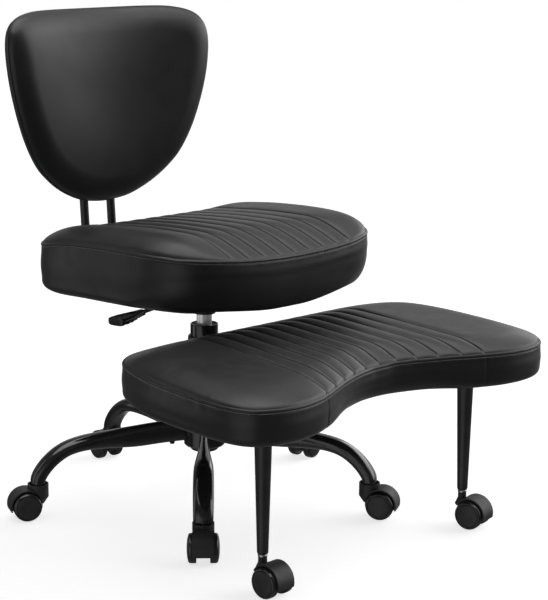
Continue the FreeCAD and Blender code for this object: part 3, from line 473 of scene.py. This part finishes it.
def threads(name, runs, pitch, length, radius, place=None):
    """Short stitches along each (points, up-vectors) run, as one mesh of small rounded loops."""
    verts, faces = [], []
    sides, steps = 6, 6
    for pts, ups in runs:
        pts = np.asarray(pts, float)
        ups = np.asarray(ups, float)
        run = np.concatenate([[0], np.cumsum(np.linalg.norm(np.diff(pts, axis=0), axis=1))])
        total = run[-1]
        for k in range(int(total / pitch)):
            u0 = (k + 0.5) * pitch - length / 2
            us = np.linspace(u0, u0 + length, steps)
            if us[0] < 0 or us[-1] > total:
                continue
            c = np.stack([np.interp(us, run, pts[:, j]) for j in range(3)], 1)
            up = np.stack([np.interp(us[steps // 2], run, ups[:, j]) for j in range(3)])
            up /= np.linalg.norm(up)
            t = c[-1] - c[0]
            t /= np.linalg.norm(t)
            side = np.cross(up, t)
            arch = np.sin(np.linspace(0, math.pi, steps))
            c = c + up[None] * (arch[:, None] * radius * 1.1 - radius * 0.9)
            r = radius * np.sqrt(np.clip(1 - np.linspace(-0.93, 0.93, steps) ** 4, 0.05, 1))
            base = len(verts)
            for i in range(steps):
                for j in range(sides):
                    a = 2 * math.pi * j / sides
                    verts.append(tuple(c[i] + (side * math.cos(a) + up * math.sin(a)) * r[i]))
            for i in range(steps - 1):
                for j in range(sides):
                    k2 = (j + 1) % sides
                    faces.append((base + i * sides + j, base + i * sides + k2,
                                  base + (i + 1) * sides + k2, base + (i + 1) * sides + j))
            faces.append(tuple(base + j for j in reversed(range(sides))))
            faces.append(tuple(base + (steps - 1) * sides + j for j in range(sides)))
    verts = np.array(verts) if place is None else np.array([place(v) for v in verts])
    return new_object(name, verts * MM, faces, [M["thread"]])


def rib_columns(half, count, reach):
    pitch = 2 * half / count
    offs = [0, 0.7, 1.5, 2.6, 4.2, 6.4, 9.2, 12.6, pitch / 2]
    offs = [o for o in offs if o <= pitch / 2]
    cols = set()
    for k in range(count):
        start = -half + k * pitch
        for o in offs:
            cols.add(round(start + o, 3))
            cols.add(round(start + pitch - o, 3))
    x, step = 0.0, 0.7
    while half + x < reach:
        x += step
        step = min(step * 1.25, 4.2)
        cols.add(round(half + x, 3))
        cols.add(round(-half - x, 3))
    return sorted(cols)


def channel(x, half, count, puff, groove, outer, fade):
    """How far the sewn channels pull the panel down at x: each rib is puffed and each line pinched."""
    pitch = 2 * half / count
    u = np.abs(((x + half) / pitch) % 1.0 * 2 - 1)
    line = (1 - u) * pitch / 2
    pull = puff * fade * (0.55 * u ** 2 + 0.45 * u ** 5) + groove * np.exp(-(line / 1.25) ** 2)
    far = np.clip(np.abs(x) - half, 0, None)
    side = 0.8 * puff * fade * (1 - np.clip(far / outer, 0, 1)) ** 3 + groove * np.exp(-(far / 1.25) ** 2)
    return np.where(np.abs(x) <= half, pull, side)


def ripple(loop, size, width, seed):
    """Small uneven puckers round a seam, the same every time."""
    n = len(loop)
    step = np.linalg.norm(np.roll(loop, -1, 0) - loop, axis=1)
    k = np.fft.fftfreq(n, step.mean()) * 2 * math.pi
    v = np.random.RandomState(seed).normal(size=n)
    v = np.real(np.fft.ifft(np.fft.fft(v) * np.exp(-0.5 * (k * width) ** 2)))
    return size * v / v.std()


WHOLE = lambda half: half + [(-x, y) for x, y in reversed(half[1:-1])]

SEAT_HALF = [(0, -234), (60, -233.5), (112, -230.5), (155, -223.5), (195, -207), (223, -178), (236.5, -137),
             (241, -92), (243, -40), (244.5, 0), (247, 50), (247.5, 98), (243, 136), (229, 168),
             (203, 191.5), (167, 209), (120, 219.5), (60, 225), (0, 226)]
REST_HALF = [(0, -431), (30, -433), (72, -445), (122, -465), (172, -489), (223, -508), (275, -513),
             (318, -503), (345, -478), (356, -430), (354, -330), (343, -245), (312, -158),
             (281, -124), (243, -107), (180, -101), (90, -100), (0, -100)]
BACK_HALF = [(0, 2), (40, 5.5), (60, 10), (80, 17.5), (100, 27), (120, 39), (140, 54), (160, 73),
             (175, 94), (188, 117), (198, 139), (206, 160), (213, 181), (219, 202), (224, 223),
             (228, 245), (230.5, 267), (231.5, 285), (230.5, 303), (226, 320), (219, 331), (208, 340),
             (193, 346.5), (175, 351), (150, 354.5), (110, 356), (55, 356.3), (0, 356.3)]


def round_edge(loop, knots, soften):
    """Values given at places on one half of the outline, carried smoothly right round it."""
    n = len(loop)
    step = np.linalg.norm(np.roll(loop, -1, 0) - loop, axis=1)
    run = np.concatenate([[0], np.cumsum(step)[:-1]])
    total = step.sum()
    start = run[int(np.argmin(loop[:, 1] + 0.02 * np.abs(loop[:, 0]) + 1000 * (np.abs(loop[:, 0]) > 6)))]
    far = (run - start) % total
    far = np.minimum(far, total - far)
    pick = []
    for x, y, v in knots:
        side = np.where(loop[:, 0] >= -1)[0]
        pick.append((far[side[np.argmin(np.hypot(loop[side, 0] - x, loop[side, 1] - y))]], v))
    pick.sort()
    v = np.interp(far, *zip(*pick))
    k = np.fft.fftfreq(n, total / n) * 2 * math.pi
    return np.real(np.fft.ifft(np.fft.fft(v) * np.exp(-0.5 * (k * soften) ** 2)))


def roll(t, mix):
    t = np.clip(t, 0, 1)
    return (1 - mix) * np.sin(math.pi / 2 * t) + mix * np.sqrt(np.clip(1 - (1 - t) ** 2, 0, 1))


def fall(t, mix):
    """Like roll, but bending evenly all the way."""
    t = np.clip(t, 0, 1)
    return (1 - mix) * (1 - (1 - t) ** 2) + mix * np.sqrt(np.clip(1 - (1 - t) ** 2, 0, 1))


def boxing_rows(seam, bottom, radius, drop, bulge, plane, join=None, welt=2.6, under=46.0, pucker=0.0):
    """Offsets and heights of the boxing strip from the seam to the underside."""
    rows = []
    cutin = 0.0 if join is None else join
    for off, dz in ((0.3, 0.1), (welt * 0.42, -0.15), (welt * 0.88, -1.25), (welt * 1.22, -2.8), (welt * 1.3, -4.0),
                    (welt * 1.05, -5.0), (welt * 0.55, -5.7), (welt * 0.5, -6.2), (welt * 0.68, -7.0), (welt * 0.92, -8.4),
                    (welt, -10.0)):
        rows.append((off - cutin * 0.6 - pucker * min(1.0, -dz / 4.0), seam + dz))
    top, low = seam - 10.0, bottom + drop
    for k in range(1, 11):
        t = k / 11.0
        rows.append((welt + bulge * (top - low) / 60.0 * math.sin(math.pi * t) ** 2 - cutin - pucker * math.exp(-t / 0.18),
                     top + (low - top) * t))
    for k in range(0, 13):
        a = math.pi / 2 * k / 12
        rows.append((welt - radius * (1 - math.cos(a)) - cutin * (1 - k / 12), low - drop * math.sin(a)))
    rows.append((welt - radius - 5.0, bottom + 0.2 + 0 * seam))
    rows.append((welt - under + 3.0, plane - 1.2 + 0 * seam))
    rows.append((welt - under, plane + 0 * seam))
    return rows


# ------------------------------------------------------------------ seat cushion
seat = Cover(WHOLE(SEAT_HALF), 1.7, 9.0, (0.9, 2.2, 3.8, 5.6))
SEAT_RIB_HALF, SEAT_RIBS = 138.0, 8
sx, sy = seat.loop[:, 0], seat.loop[:, 1]
side_share = ease((np.abs(sx) - 120.0) / 105.0)
seat_seam = round_edge(seat.loop, [(0, -234, 488.5), (50, -233, 489.5), (100, -230, 491.5), (140, -225, 494.5),
                                   (179, -213, 497.5), (208, -193, 499.5), (228, -160, 501.0), (237, -125, 502.0),
                                   (243, -31, 501.0), (245, 24, 499.0), (248, 81, 495.5), (247, 105, 491.5),
                                   (243, 134, 484.5), (229, 168, 481.0), (167, 209, 480.0), (0, 226, 481.0)], 12.0)
seat_roll = 50.0 + 104.0 * (1 - side_share) * np.where(sy < 0, 1.0, 0.8)
seat_mix = 0.10 + 0.22 * side_share
seat_pucker = ripple(seat.loop, 0.16, 6.0, 4)


def seat_crown(x, y):
    z = smooth_table(-y, [(-240, 487), (-218, 490.5), (-187, 496), (-155, 501.5), (-124, 507.5), (-60, 514), (-23, 517.5),
                          (0, 519), (40, 521.5), (97, 523.5), (140, 524), (240, 524)], 22)
    return z + 5.0 * ease((np.abs(x) - 110.0) / 100.0)


def seat_height(p):
    d, (zs, r, mix, pucker) = edge_fields(p, seat.loop, [seat_seam, seat_roll, seat_mix, seat_pucker])
    f = fall(d / r, mix)
    z = zs * (1 - f) + seat_crown(p[:, 0], p[:, 1]) * f
    fade = 0.75 + 0.25 * ease((d - 1.0) / 22.0)
    z += pucker * np.exp(-d / 9.0)
    z -= channel(p[:, 0], SEAT_RIB_HALF, SEAT_RIBS, 3.4, 2.2, 16.0, fade)
    return z - 1.7 * np.exp(-(d / 2.0) ** 2)


seat.panel(rib_columns(SEAT_RIB_HALF, SEAT_RIBS, 250.0), np.arange(-232.0, 230.0, 4.3), seat_height)
front_share = ease((-150.0 - sy) / 70.0) * ease((175.0 - np.abs(sx)) / 150.0)
seat_tuck = 15.0 + 19.0 * ease((60.0 - sy) / 180.0) - 10.0 * front_share
seat_low = 398.8 + 3.0 * ease((120.0 - sy) / 90.0) + 2.0 * ease((-20.0 - sy) / 160.0) - 9.0 * front_share
seat_turn = 15.0 + 43.0 * ease((-70.0 - sy) / 140.0)
seat.band(boxing_rows(seat_seam, seat_low, seat_tuck, seat_turn, 1.8, 402.2, pucker=seat_pucker))
seat.close(402.0)
seat_cushion = new_object("seat_pad", np.array(seat.verts) * MM, seat.faces, [M["leather"], M["cloth"]],
                          [int(i >= seat.top_faces) for i in range(len(seat.faces))])
outward(seat_cushion)
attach(seat_cushion, "seat")
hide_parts("seat_cushion", "seat_board")


def stitch_run(cover, seam, off, drop, start=0, stop=None):
    """Closed run round a cover, off outwards from the seam line and drop below it."""
    p = cover.loop + cover.norm * off
    pts = np.column_stack([p, seam - drop])
    ups = np.column_stack([cover.norm, np.full(len(p), 0.25)])
    return np.vstack([pts, pts[:1]]), np.vstack([ups, ups[:1]])


seat_stitch = threads("seat_topstitch", [stitch_run(seat, seat_seam, 2.1, 6.0)], 4.0, 2.8, 0.72)
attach(seat_stitch, "seat")

# ------------------------------------------------------------------ footrest cushion
rest = Cover(WHOLE(REST_HALF), 1.7, 9.0, (0.9, 2.2, 3.8, 5.6))
REST_RIB_HALF, REST_RIBS = 187.0, 10
rx, ry = rest.loop[:, 0], rest.loop[:, 1]
rest_seam = smooth_table(-ry, [(90, 335), (140, 336), (240, 337), (330, 335.5), (430, 333.5), (520, 332)], 25)
rear_share = ease((ry + 190.0) / 70.0)
rest_roll = 62.0 * (1 - rear_share) + 122.0 * rear_share
rest_mix = 0.5 * (1 - rear_share) + 0.05 * rear_share
rest_pucker = ripple(rest.loop, 0.18, 6.0, 9)


def rest_lean(y):
    return 1.0 - 0.09 * np.clip((np.asarray(y) + 470.0) / 370.0, 0, 1)


def rest_crown(x, y):
    return smooth_table(-y, [(90, 363.5), (180, 364), (224, 364), (250, 363), (318, 360), (385, 356.5), (431, 353.5), (520, 350)], 25)


def rest_height(p):
    d, (zs, r, mix, pucker) = edge_fields(p, rest.loop, [rest_seam, rest_roll, rest_mix, rest_pucker])
    f = roll(d / r, mix)
    z = zs * (1 - f) + rest_crown(p[:, 0], p[:, 1]) * f
    fade = 0.75 + 0.25 * ease((d - 1.0) / 20.0)
    z += pucker * np.exp(-d / 9.0)
    z -= channel(p[:, 0] / rest_lean(p[:, 1]), REST_RIB_HALF, REST_RIBS, 3.6, 2.3, 16.0, fade)
    return z - 1.7 * np.exp(-(d / 2.0) ** 2)


join = np.zeros(len(rx))
for side in (1, -1):
    i = int(np.argmin(np.hypot(rx - side * 187.0, ry + 496.0)))
    gap = np.linalg.norm(rest.loop - rest.loop[i], axis=1)
    join = np.maximum(join, 1.5 * np.exp(-(gap / 2.0) ** 2))
rest.panel(rib_columns(REST_RIB_HALF, REST_RIBS, 400.0), np.arange(-516.0, -98.0, 4.3), rest_height, rest_lean)
bay_share = ease((175.0 - np.abs(rx)) / 90.0) * (ry < -300.0)
rest.band(boxing_rows(rest_seam, 272.6 + 2.0 * bay_share, 13.0 + 11.0 * bay_share, 14.0 + 12.0 * bay_share, 1.8, 274.2, join, 2.2, 40.0, rest_pucker))
rest.close(274.2)
rest_cushion = new_object("footrest_pad", np.array(rest.verts) * MM, rest.faces, [M["leather"], M["cloth"]],
                          [int(i >= rest.top_faces) for i in range(len(rest.faces))])
outward(rest_cushion)
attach(rest_cushion, "footrest")
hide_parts("footrest_cushion", "footrest_board")
rest_stitch = threads("footrest_topstitch", [stitch_run(rest, rest_seam, 1.75, 6.0)], 4.0, 2.8, 0.72)
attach(rest_stitch, "footrest")

# ------------------------------------------------------------------ backrest
LEAN = math.radians(4.0)
BACK_FOOT = (302.3, 514.0)
BACK_R = 575.0


def back_place(v):
    """Pad coordinates (across, up, forward of the rear face) to the part frame."""
    x, u, h = v
    h = h + x * x / (2 * BACK_R) + 9.2
    return (x, BACK_FOOT[0] + u * math.sin(LEAN) - h * math.cos(LEAN),
            BACK_FOOT[1] + u * math.cos(LEAN) + h * math.sin(LEAN))


back = Cover(WHOLE(BACK_HALF), 2.4, 6.0)
back_seam = np.full(len(back.loop), 17.0)


def back_height(p):
    d, _ = edge_fields(p, back.loop, [])
    dome = 15.0 * (1.0 - (1.0 - np.clip(d / 118.0, 0, 1)) ** 2.0)
    z = 17.0 + 21.0 * fall(d / 44.0, 0.55) + dome
    return z - 1.7 * np.exp(-(d / 2.0) ** 2)


span = np.arange(-236.0, 237.0, 4.0)
back.panel(span, np.arange(0.0, 360.0, 4.0), back_height)
rows = []
for off, h in ((0.6, 16.4), (1.1, 15.2), (1.3, 13.5), (1.2, 11.0), (0.8, 8.8), (0.1, 7.4), (-1.2, 6.6), (-5.0, 6.2),
               (-12.0, 6.2)):
    rows.append((off, np.full(len(back.loop), h)))
back.band(rows)
back.close(6.2)
back_cushion = new_object("back_pad", np.array([back_place(v) for v in back.verts]) * MM, back.faces, [M["leather"]])
outward(back_cushion)
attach(back_cushion, "seat")
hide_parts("back_cushion")

rear = Cover([tuple(p) for p in back.loop - back.norm * 3.0], 2.6, 2.0)


def rear_height(p):
    d, _ = edge_fields(p, rear.loop, [])
    return -(4.2 + 2.2 * roll(d / 16.0, 0.7) - 6.0)


rear.panel(np.arange(-236.0, 237.0, 6.0), np.arange(0.0, 360.0, 6.0), rear_height)
rear.band([(0.8, 2.2), (1.2, 3.2), (1.0, 4.6), (0.2, 5.8), (-2.0, 6.0)])
rear.close(6.0)
rear_panel = new_object("back_rear_cover", np.array([back_place(v) for v in rear.verts]) * MM, rear.faces,
                        [M["leather_back"]])
outward(rear_panel)
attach(rear_panel, "seat")
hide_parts("back_rear_panel")

# ------------------------------------------------------------------ height lever grip
def lever_grip():
    """Paddle with finger scallops underneath and a shallow trough on top."""
    turn, drop = math.radians(190.8), math.radians(3.1)
    go = np.array([math.cos(turn) * math.cos(drop), math.sin(turn) * math.cos(drop), -math.sin(drop)])
    side = np.array([-math.sin(turn), math.cos(turn), 0.0])
    up = np.cross(go, side)
    root = np.array([0.0, 0.0, 388.9])
    s0, s1, around = 171.0, 245.5, 64
    corner, edge = 6.0, 1.6
    u = np.concatenate([[0.0, 0.004, 0.012, 0.022], np.linspace(0.036, 0.90, 64), [0.915, 0.93, 0.945, 0.958, 0.97, 0.98, 0.988, 0.994, 0.998, 1.0]])
    verts, faces = [], []
    for t in u:
        s = s0 + (s1 - s0) * t
        wide = 6.6 + 11.0 * float(ease(t * 1.3))
        top = 5.2 + 1.6 * t
        low = -5.0 - 1.8 * float(ease(t * 1.6))
        if 0.24 < t < 0.96:
            low += 1.9 * (0.5 - 0.5 * math.cos(2 * math.pi * 4 * (t - 0.24) / 0.72)) ** 2.0
        mid, half = (top + low) / 2, (top - low) / 2
        if s > s1 - corner:
            wide -= corner * (1 - math.sqrt(max(1 - ((s - s1 + corner) / corner) ** 2, 0.0)))
        if s > s1 - edge:
            half -= edge * (1 - math.sqrt(max(1 - ((s - s1 + edge) / edge) ** 2, 0.0)))
        elif s < s0 + 2.2:
            k = 0.74 + 0.26 * math.sqrt(max(1 - ((s0 + 2.2 - s) / 2.2) ** 2, 0.0))
            wide, half = wide * k, half * k
        for j in range(around):
            a = 2 * math.pi * j / around
            c, n = math.cos(a), math.sin(a)
            y = math.copysign(abs(c) ** (2 / 4.2), c) * wide
            z = mid + math.copysign(abs(n) ** (2 / 3.6), n) * half
            if n > 0:
                dip = max(1 - (y / (wide * 0.78)) ** 2, 0.0) ** 0.8
                z -= 2.4 * dip * float(ease((t - 0.3) / 0.1) * ease((0.93 - t) / 0.06))
            verts.append(root + go * s + side * y + up * z)
    rows = len(u)
    for i in range(rows - 1):
        for j in range(around):
            k = (j + 1) % around
            faces.append((i * around + j, i * around + k, (i + 1) * around + k, (i + 1) * around + j))
    faces.append(tuple(reversed(range(around))))
    faces.append(tuple((rows - 1) * around + j for j in range(around)))
    return new_object("lever_grip", np.array(verts) * MM, faces, [M["grip"]])


grip = lever_grip()
outward(grip)
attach(grip, "lever")
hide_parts("lever_handle")

# ------------------------------------------------------------------ caster wheels
WHEEL_PROFILE = [  # radius, distance out from the middle of the caster, finish of the strip that follows
    (4.3, 21.4, 0), (4.3, 11.7, 0), (7.6, 11.5, 0), (8.4, 11.7, 0), (8.8, 12.6, 0), (20.2, 12.6, 0), (20.8, 12.3, 0),
    (21.3, 11.6, 0), (22.2, 11.4, 0), (23.6, 11.4, 0), (24.3, 11.65, 0), (24.75, 12.2, 0), (24.95, 13.1, 0),
    (25.0, 14.4, 0), (25.0, 17.0, 0), (25.0, 19.4, 0), (24.95, 20.6, 1), (24.75, 21.8, 1), (24.35, 22.9, 1),
    (23.75, 23.8, 1), (22.95, 24.5, 1), (22.0, 24.95, 1), (21.3, 25.1, 1), (20.9, 24.95, 1), (20.7, 24.5, 1),
    (20.55, 24.05, 1), (20.4, 24.0, 2), (20.28, 24.3, 2), (20.15, 24.9, 2), (19.8, 25.3, 2), (19.0, 25.6, 2),
    (17.0, 26.05, 2), (14.0, 26.55, 2), (10.5, 26.95, 2), (7.0, 27.2, 2), (3.5, 27.35, 2)]


def wheel(name, x, y, trail, side):
    a = math.radians(trail)
    centre = np.array([x + 22.7 * math.cos(a), y + 22.7 * math.sin(a), 25.0])
    out = np.array([-math.sin(a), math.cos(a), 0.0]) * side
    flat = np.array([math.cos(a), math.sin(a), 0.0])
    turn = 80
    verts, faces, marks = [], [], []
    for r, h, _ in WHEEL_PROFILE:
        for j in range(turn):
            b = 2 * math.pi * j / turn
            verts.append(centre + out * h + (flat * math.cos(b) + np.array([0, 0, 1.0]) * math.sin(b)) * r)
    for i in range(len(WHEEL_PROFILE) - 1):
        for j in range(turn):
            k = (j + 1) % turn
            faces.append((i * turn + j, i * turn + k, (i + 1) * turn + k, (i + 1) * turn + j))
            marks.append(WHEEL_PROFILE[i][2])
    for i, h, mark in ((0, 21.4, 0), (len(WHEEL_PROFILE) - 1, 27.4, 2)):
        verts.append(centre + out * h)
        for j in range(turn):
            k = (j + 1) % turn
            faces.append((i * turn + j, i * turn + k, len(verts) - 1))
            marks.append(mark)
    obj = new_object(name + "_tyre", np.array(verts) * MM, faces, [M["tread"], M["rim"], M["cap"]], marks)
    outward(obj)
    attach(obj, name)
    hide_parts(name)


PLACES = {}
for k in range(5):
    a = math.radians(-131.96 + 72.0 * k)
    PLACES["base_caster_%d" % (k + 1)] = (307.65 * math.cos(a), 307.65 * math.sin(a), -131.96 + 72.0 * k)
PLACES["footrest_caster_left"] = (239.8, -408.0, -76.5)
PLACES["footrest_caster_right"] = (-239.8, -408.0, -87.5)
for name, (x, y, trail) in PLACES.items():
    wheel(name + "_wheel_left", x, y, trail, 1)
    wheel(name + "_wheel_right", x, y, trail, -1)

# ------------------------------------------------------------------ finishes on the CAD pieces
for name in ("base_hub", "base_legs", "lift_outer_tube", "footrest_arm"):
    dress(name, M["gloss"])
for name in ("seat_plate", "back_posts", "back_bracket", "footrest_legs", "footrest_leg_plates", "lever_rod"):
    dress(name, M["satin"])
dress("lift_pressure_tube", M["chrome"])
for name in ("lift_piston_rod", "lift_thrust_bearing", "lift_clip", "lift_release_pin", "base_caster_stems",
             "footrest_caster_stems"):
    dress(name, M["zinc"])
for name in ("base_leg_bolts", "seat_bolts", "back_bolts", "footrest_screws"):
    dress(name, M["screw"])
for name in ("lift_guide_bush", "base_leg_plugs", "footrest_bush"):
    dress(name, M["nylon"])
dress("back_board", M["ply"])
CASTERS = ["base_caster_%d" % k for k in range(1, 6)] + ["footrest_caster_left", "footrest_caster_right"]
for c in CASTERS:
    dress(c + "_hood", M["charcoal"])
    dress(c + "_axle", M["zinc"])
for name, obj in NODES.items():
    if obj.hide_render:
        continue
    mod = obj.modifiers.new("edges", "EDGE_SPLIT")
    mod.split_angle = math.radians(32.0)
    mod.use_edge_sharp = False

# ------------------------------------------------------------------ studio
floor_mesh = bpy.data.meshes.new("floor")
bm = bmesh.new()
bmesh.ops.create_circle(bm, cap_ends=True, radius=14.0, segments=96)
bm.to_mesh(floor_mesh)
bm.free()
floor = bpy.data.objects.new("floor", floor_mesh)
SCENE.collection.objects.link(floor)
m = Mat("pale_floor", (0.83, 0.83, 0.83), 0.6, spec=0.15)
m.set("Emission Color", (1.0, 1.0, 1.0, 1.0))
m.set("Emission Strength", 0.72)
m.tint(m.noise(1.5), (0.82, 0.82, 0.82), (0.84, 0.84, 0.84))
floor_mesh.materials.append(m.mat)


def softbox(name, place, target, width, height, power, color=(1.0, 1.0, 1.0)):
    data = bpy.data.lights.new(name, "AREA")
    data.shape = "RECTANGLE"
    data.size, data.size_y = width, height
    data.energy = power
    data.color = color
    obj = bpy.data.objects.new(name, data)
    SCENE.collection.objects.link(obj)
    place, target = into_part(place), into_part(target)
    obj.matrix_world = Matrix.Translation(place) @ (place - target).to_track_quat("Z", "Y").to_matrix().to_4x4()
    return obj


# places are given as seen from the camera: x to the right, y away, z up
softbox("top_box", (-0.2, 0.1, 3.2), (0.0, 0.0, 0.4), 3.0, 2.4, 12.0)
softbox("back_box", (1.9, 2.3, 1.25), (0.35, -0.1, 0.4), 1.5, 1.1, 7.0)
softbox("left_box", (-3.0, 0.35, 0.7), (0.0, 0.0, 0.45), 1.2, 2.8, 7.5)
sun_data = bpy.data.lights.new("sky_light", "SUN")
sun_data.energy = 2.4
sun_data.angle = math.radians(78.0)
sun = bpy.data.objects.new("sky_light", sun_data)
SCENE.collection.objects.link(sun)
chair_only = bpy.data.collections.new("lit_by_sky")
for obj in SCENE.objects:
    if obj.type == "MESH" and obj is not floor:
        chair_only.objects.link(obj)
sun.light_linking.receiver_collection = chair_only
floor.visible_glossy = False

# studio surround: dark with a pale band round the horizon, broad soft glows to the camera's right and behind
world = bpy.data.worlds.new("studio")
SCENE.world = world
world.use_nodes = True
tree = world.node_tree
lit = tree.nodes["Background"]
place = tree.nodes.new("ShaderNodeTexCoord")
split = tree.nodes.new("ShaderNodeSeparateXYZ")
span_node = tree.nodes.new("ShaderNodeMapRange")
span_node.inputs["From Min"].default_value = -1.0
ramp = tree.nodes.new("ShaderNodeValToRGB")
tree.links.new(place.outputs["Generated"], split.inputs["Vector"])
tree.links.new(split.outputs["Z"], span_node.inputs["Value"])
tree.links.new(span_node.outputs["Result"], ramp.inputs["Fac"])
stops = [(0.0, 0.20), (0.30, 0.05), (0.43, 0.035), (0.50, 0.12), (0.57, 0.15), (0.65, 0.08), (0.84, 0.12), (1.0, 0.25)]
while len(ramp.color_ramp.elements) < len(stops):
    ramp.color_ramp.elements.new(0.5)
for e, (at, v) in zip(ramp.color_ramp.elements, stops):
    e.position = at
    e.color = (v, v, v, 1.0)


def glow(under, direction, inner, outer, strength):
    """Soft round patch of light in the surround, added to a colour."""
    aim = tree.nodes.new("ShaderNodeVectorMath")
    aim.operation = "DOT_PRODUCT"
    aim.inputs[1].default_value = into_part(direction).normalized()
    tree.links.new(place.outputs["Generated"], aim.inputs[0])
    fall = tree.nodes.new("ShaderNodeMapRange")
    fall.interpolation_type = "SMOOTHERSTEP"
    fall.inputs["From Min"].default_value = math.cos(math.radians(outer))
    fall.inputs["From Max"].default_value = math.cos(math.radians(inner))
    fall.inputs["To Max"].default_value = strength
    tree.links.new(aim.outputs["Value"], fall.inputs["Value"])
    add = tree.nodes.new("ShaderNodeMix")
    add.data_type = "RGBA"
    add.blend_type = "ADD"
    add.inputs["Factor"].default_value = 1.0
    tree.links.new(under, add.inputs[6])
    tree.links.new(fall.outputs["Result"], add.inputs[7])
    return add.outputs[2]


surround = glow(ramp.outputs["Color"], (0.93, 0.24, 0.40), 4.0, 37.0, 2.4)
surround = glow(surround, (0.70, 0.62, 0.52), 4.0, 36.0, 0.3)
surround = glow(surround, (-0.60, -0.80, -0.10), 5.0, 44.0, 0.6)
surround = glow(surround, (0.26, 1.0, 0.06), 10.0, 52.0, 0.40)
tree.links.new(surround, lit.inputs["Color"])
plain = tree.nodes.new("ShaderNodeBackground")
plain.inputs["Color"].default_value = (1.0, 1.0, 1.0, 1.0)
path = tree.nodes.new("ShaderNodeLightPath")
both = tree.nodes.new("ShaderNodeMixShader")
tree.links.new(path.outputs["Is Camera Ray"], both.inputs["Fac"])
tree.links.new(lit.outputs["Background"], both.inputs[1])
tree.links.new(plain.outputs["Background"], both.inputs[2])
tree.links.new(both.outputs["Shader"], tree.nodes["World Output"].inputs["Surface"])
SCENE.view_settings.view_transform = "Standard"
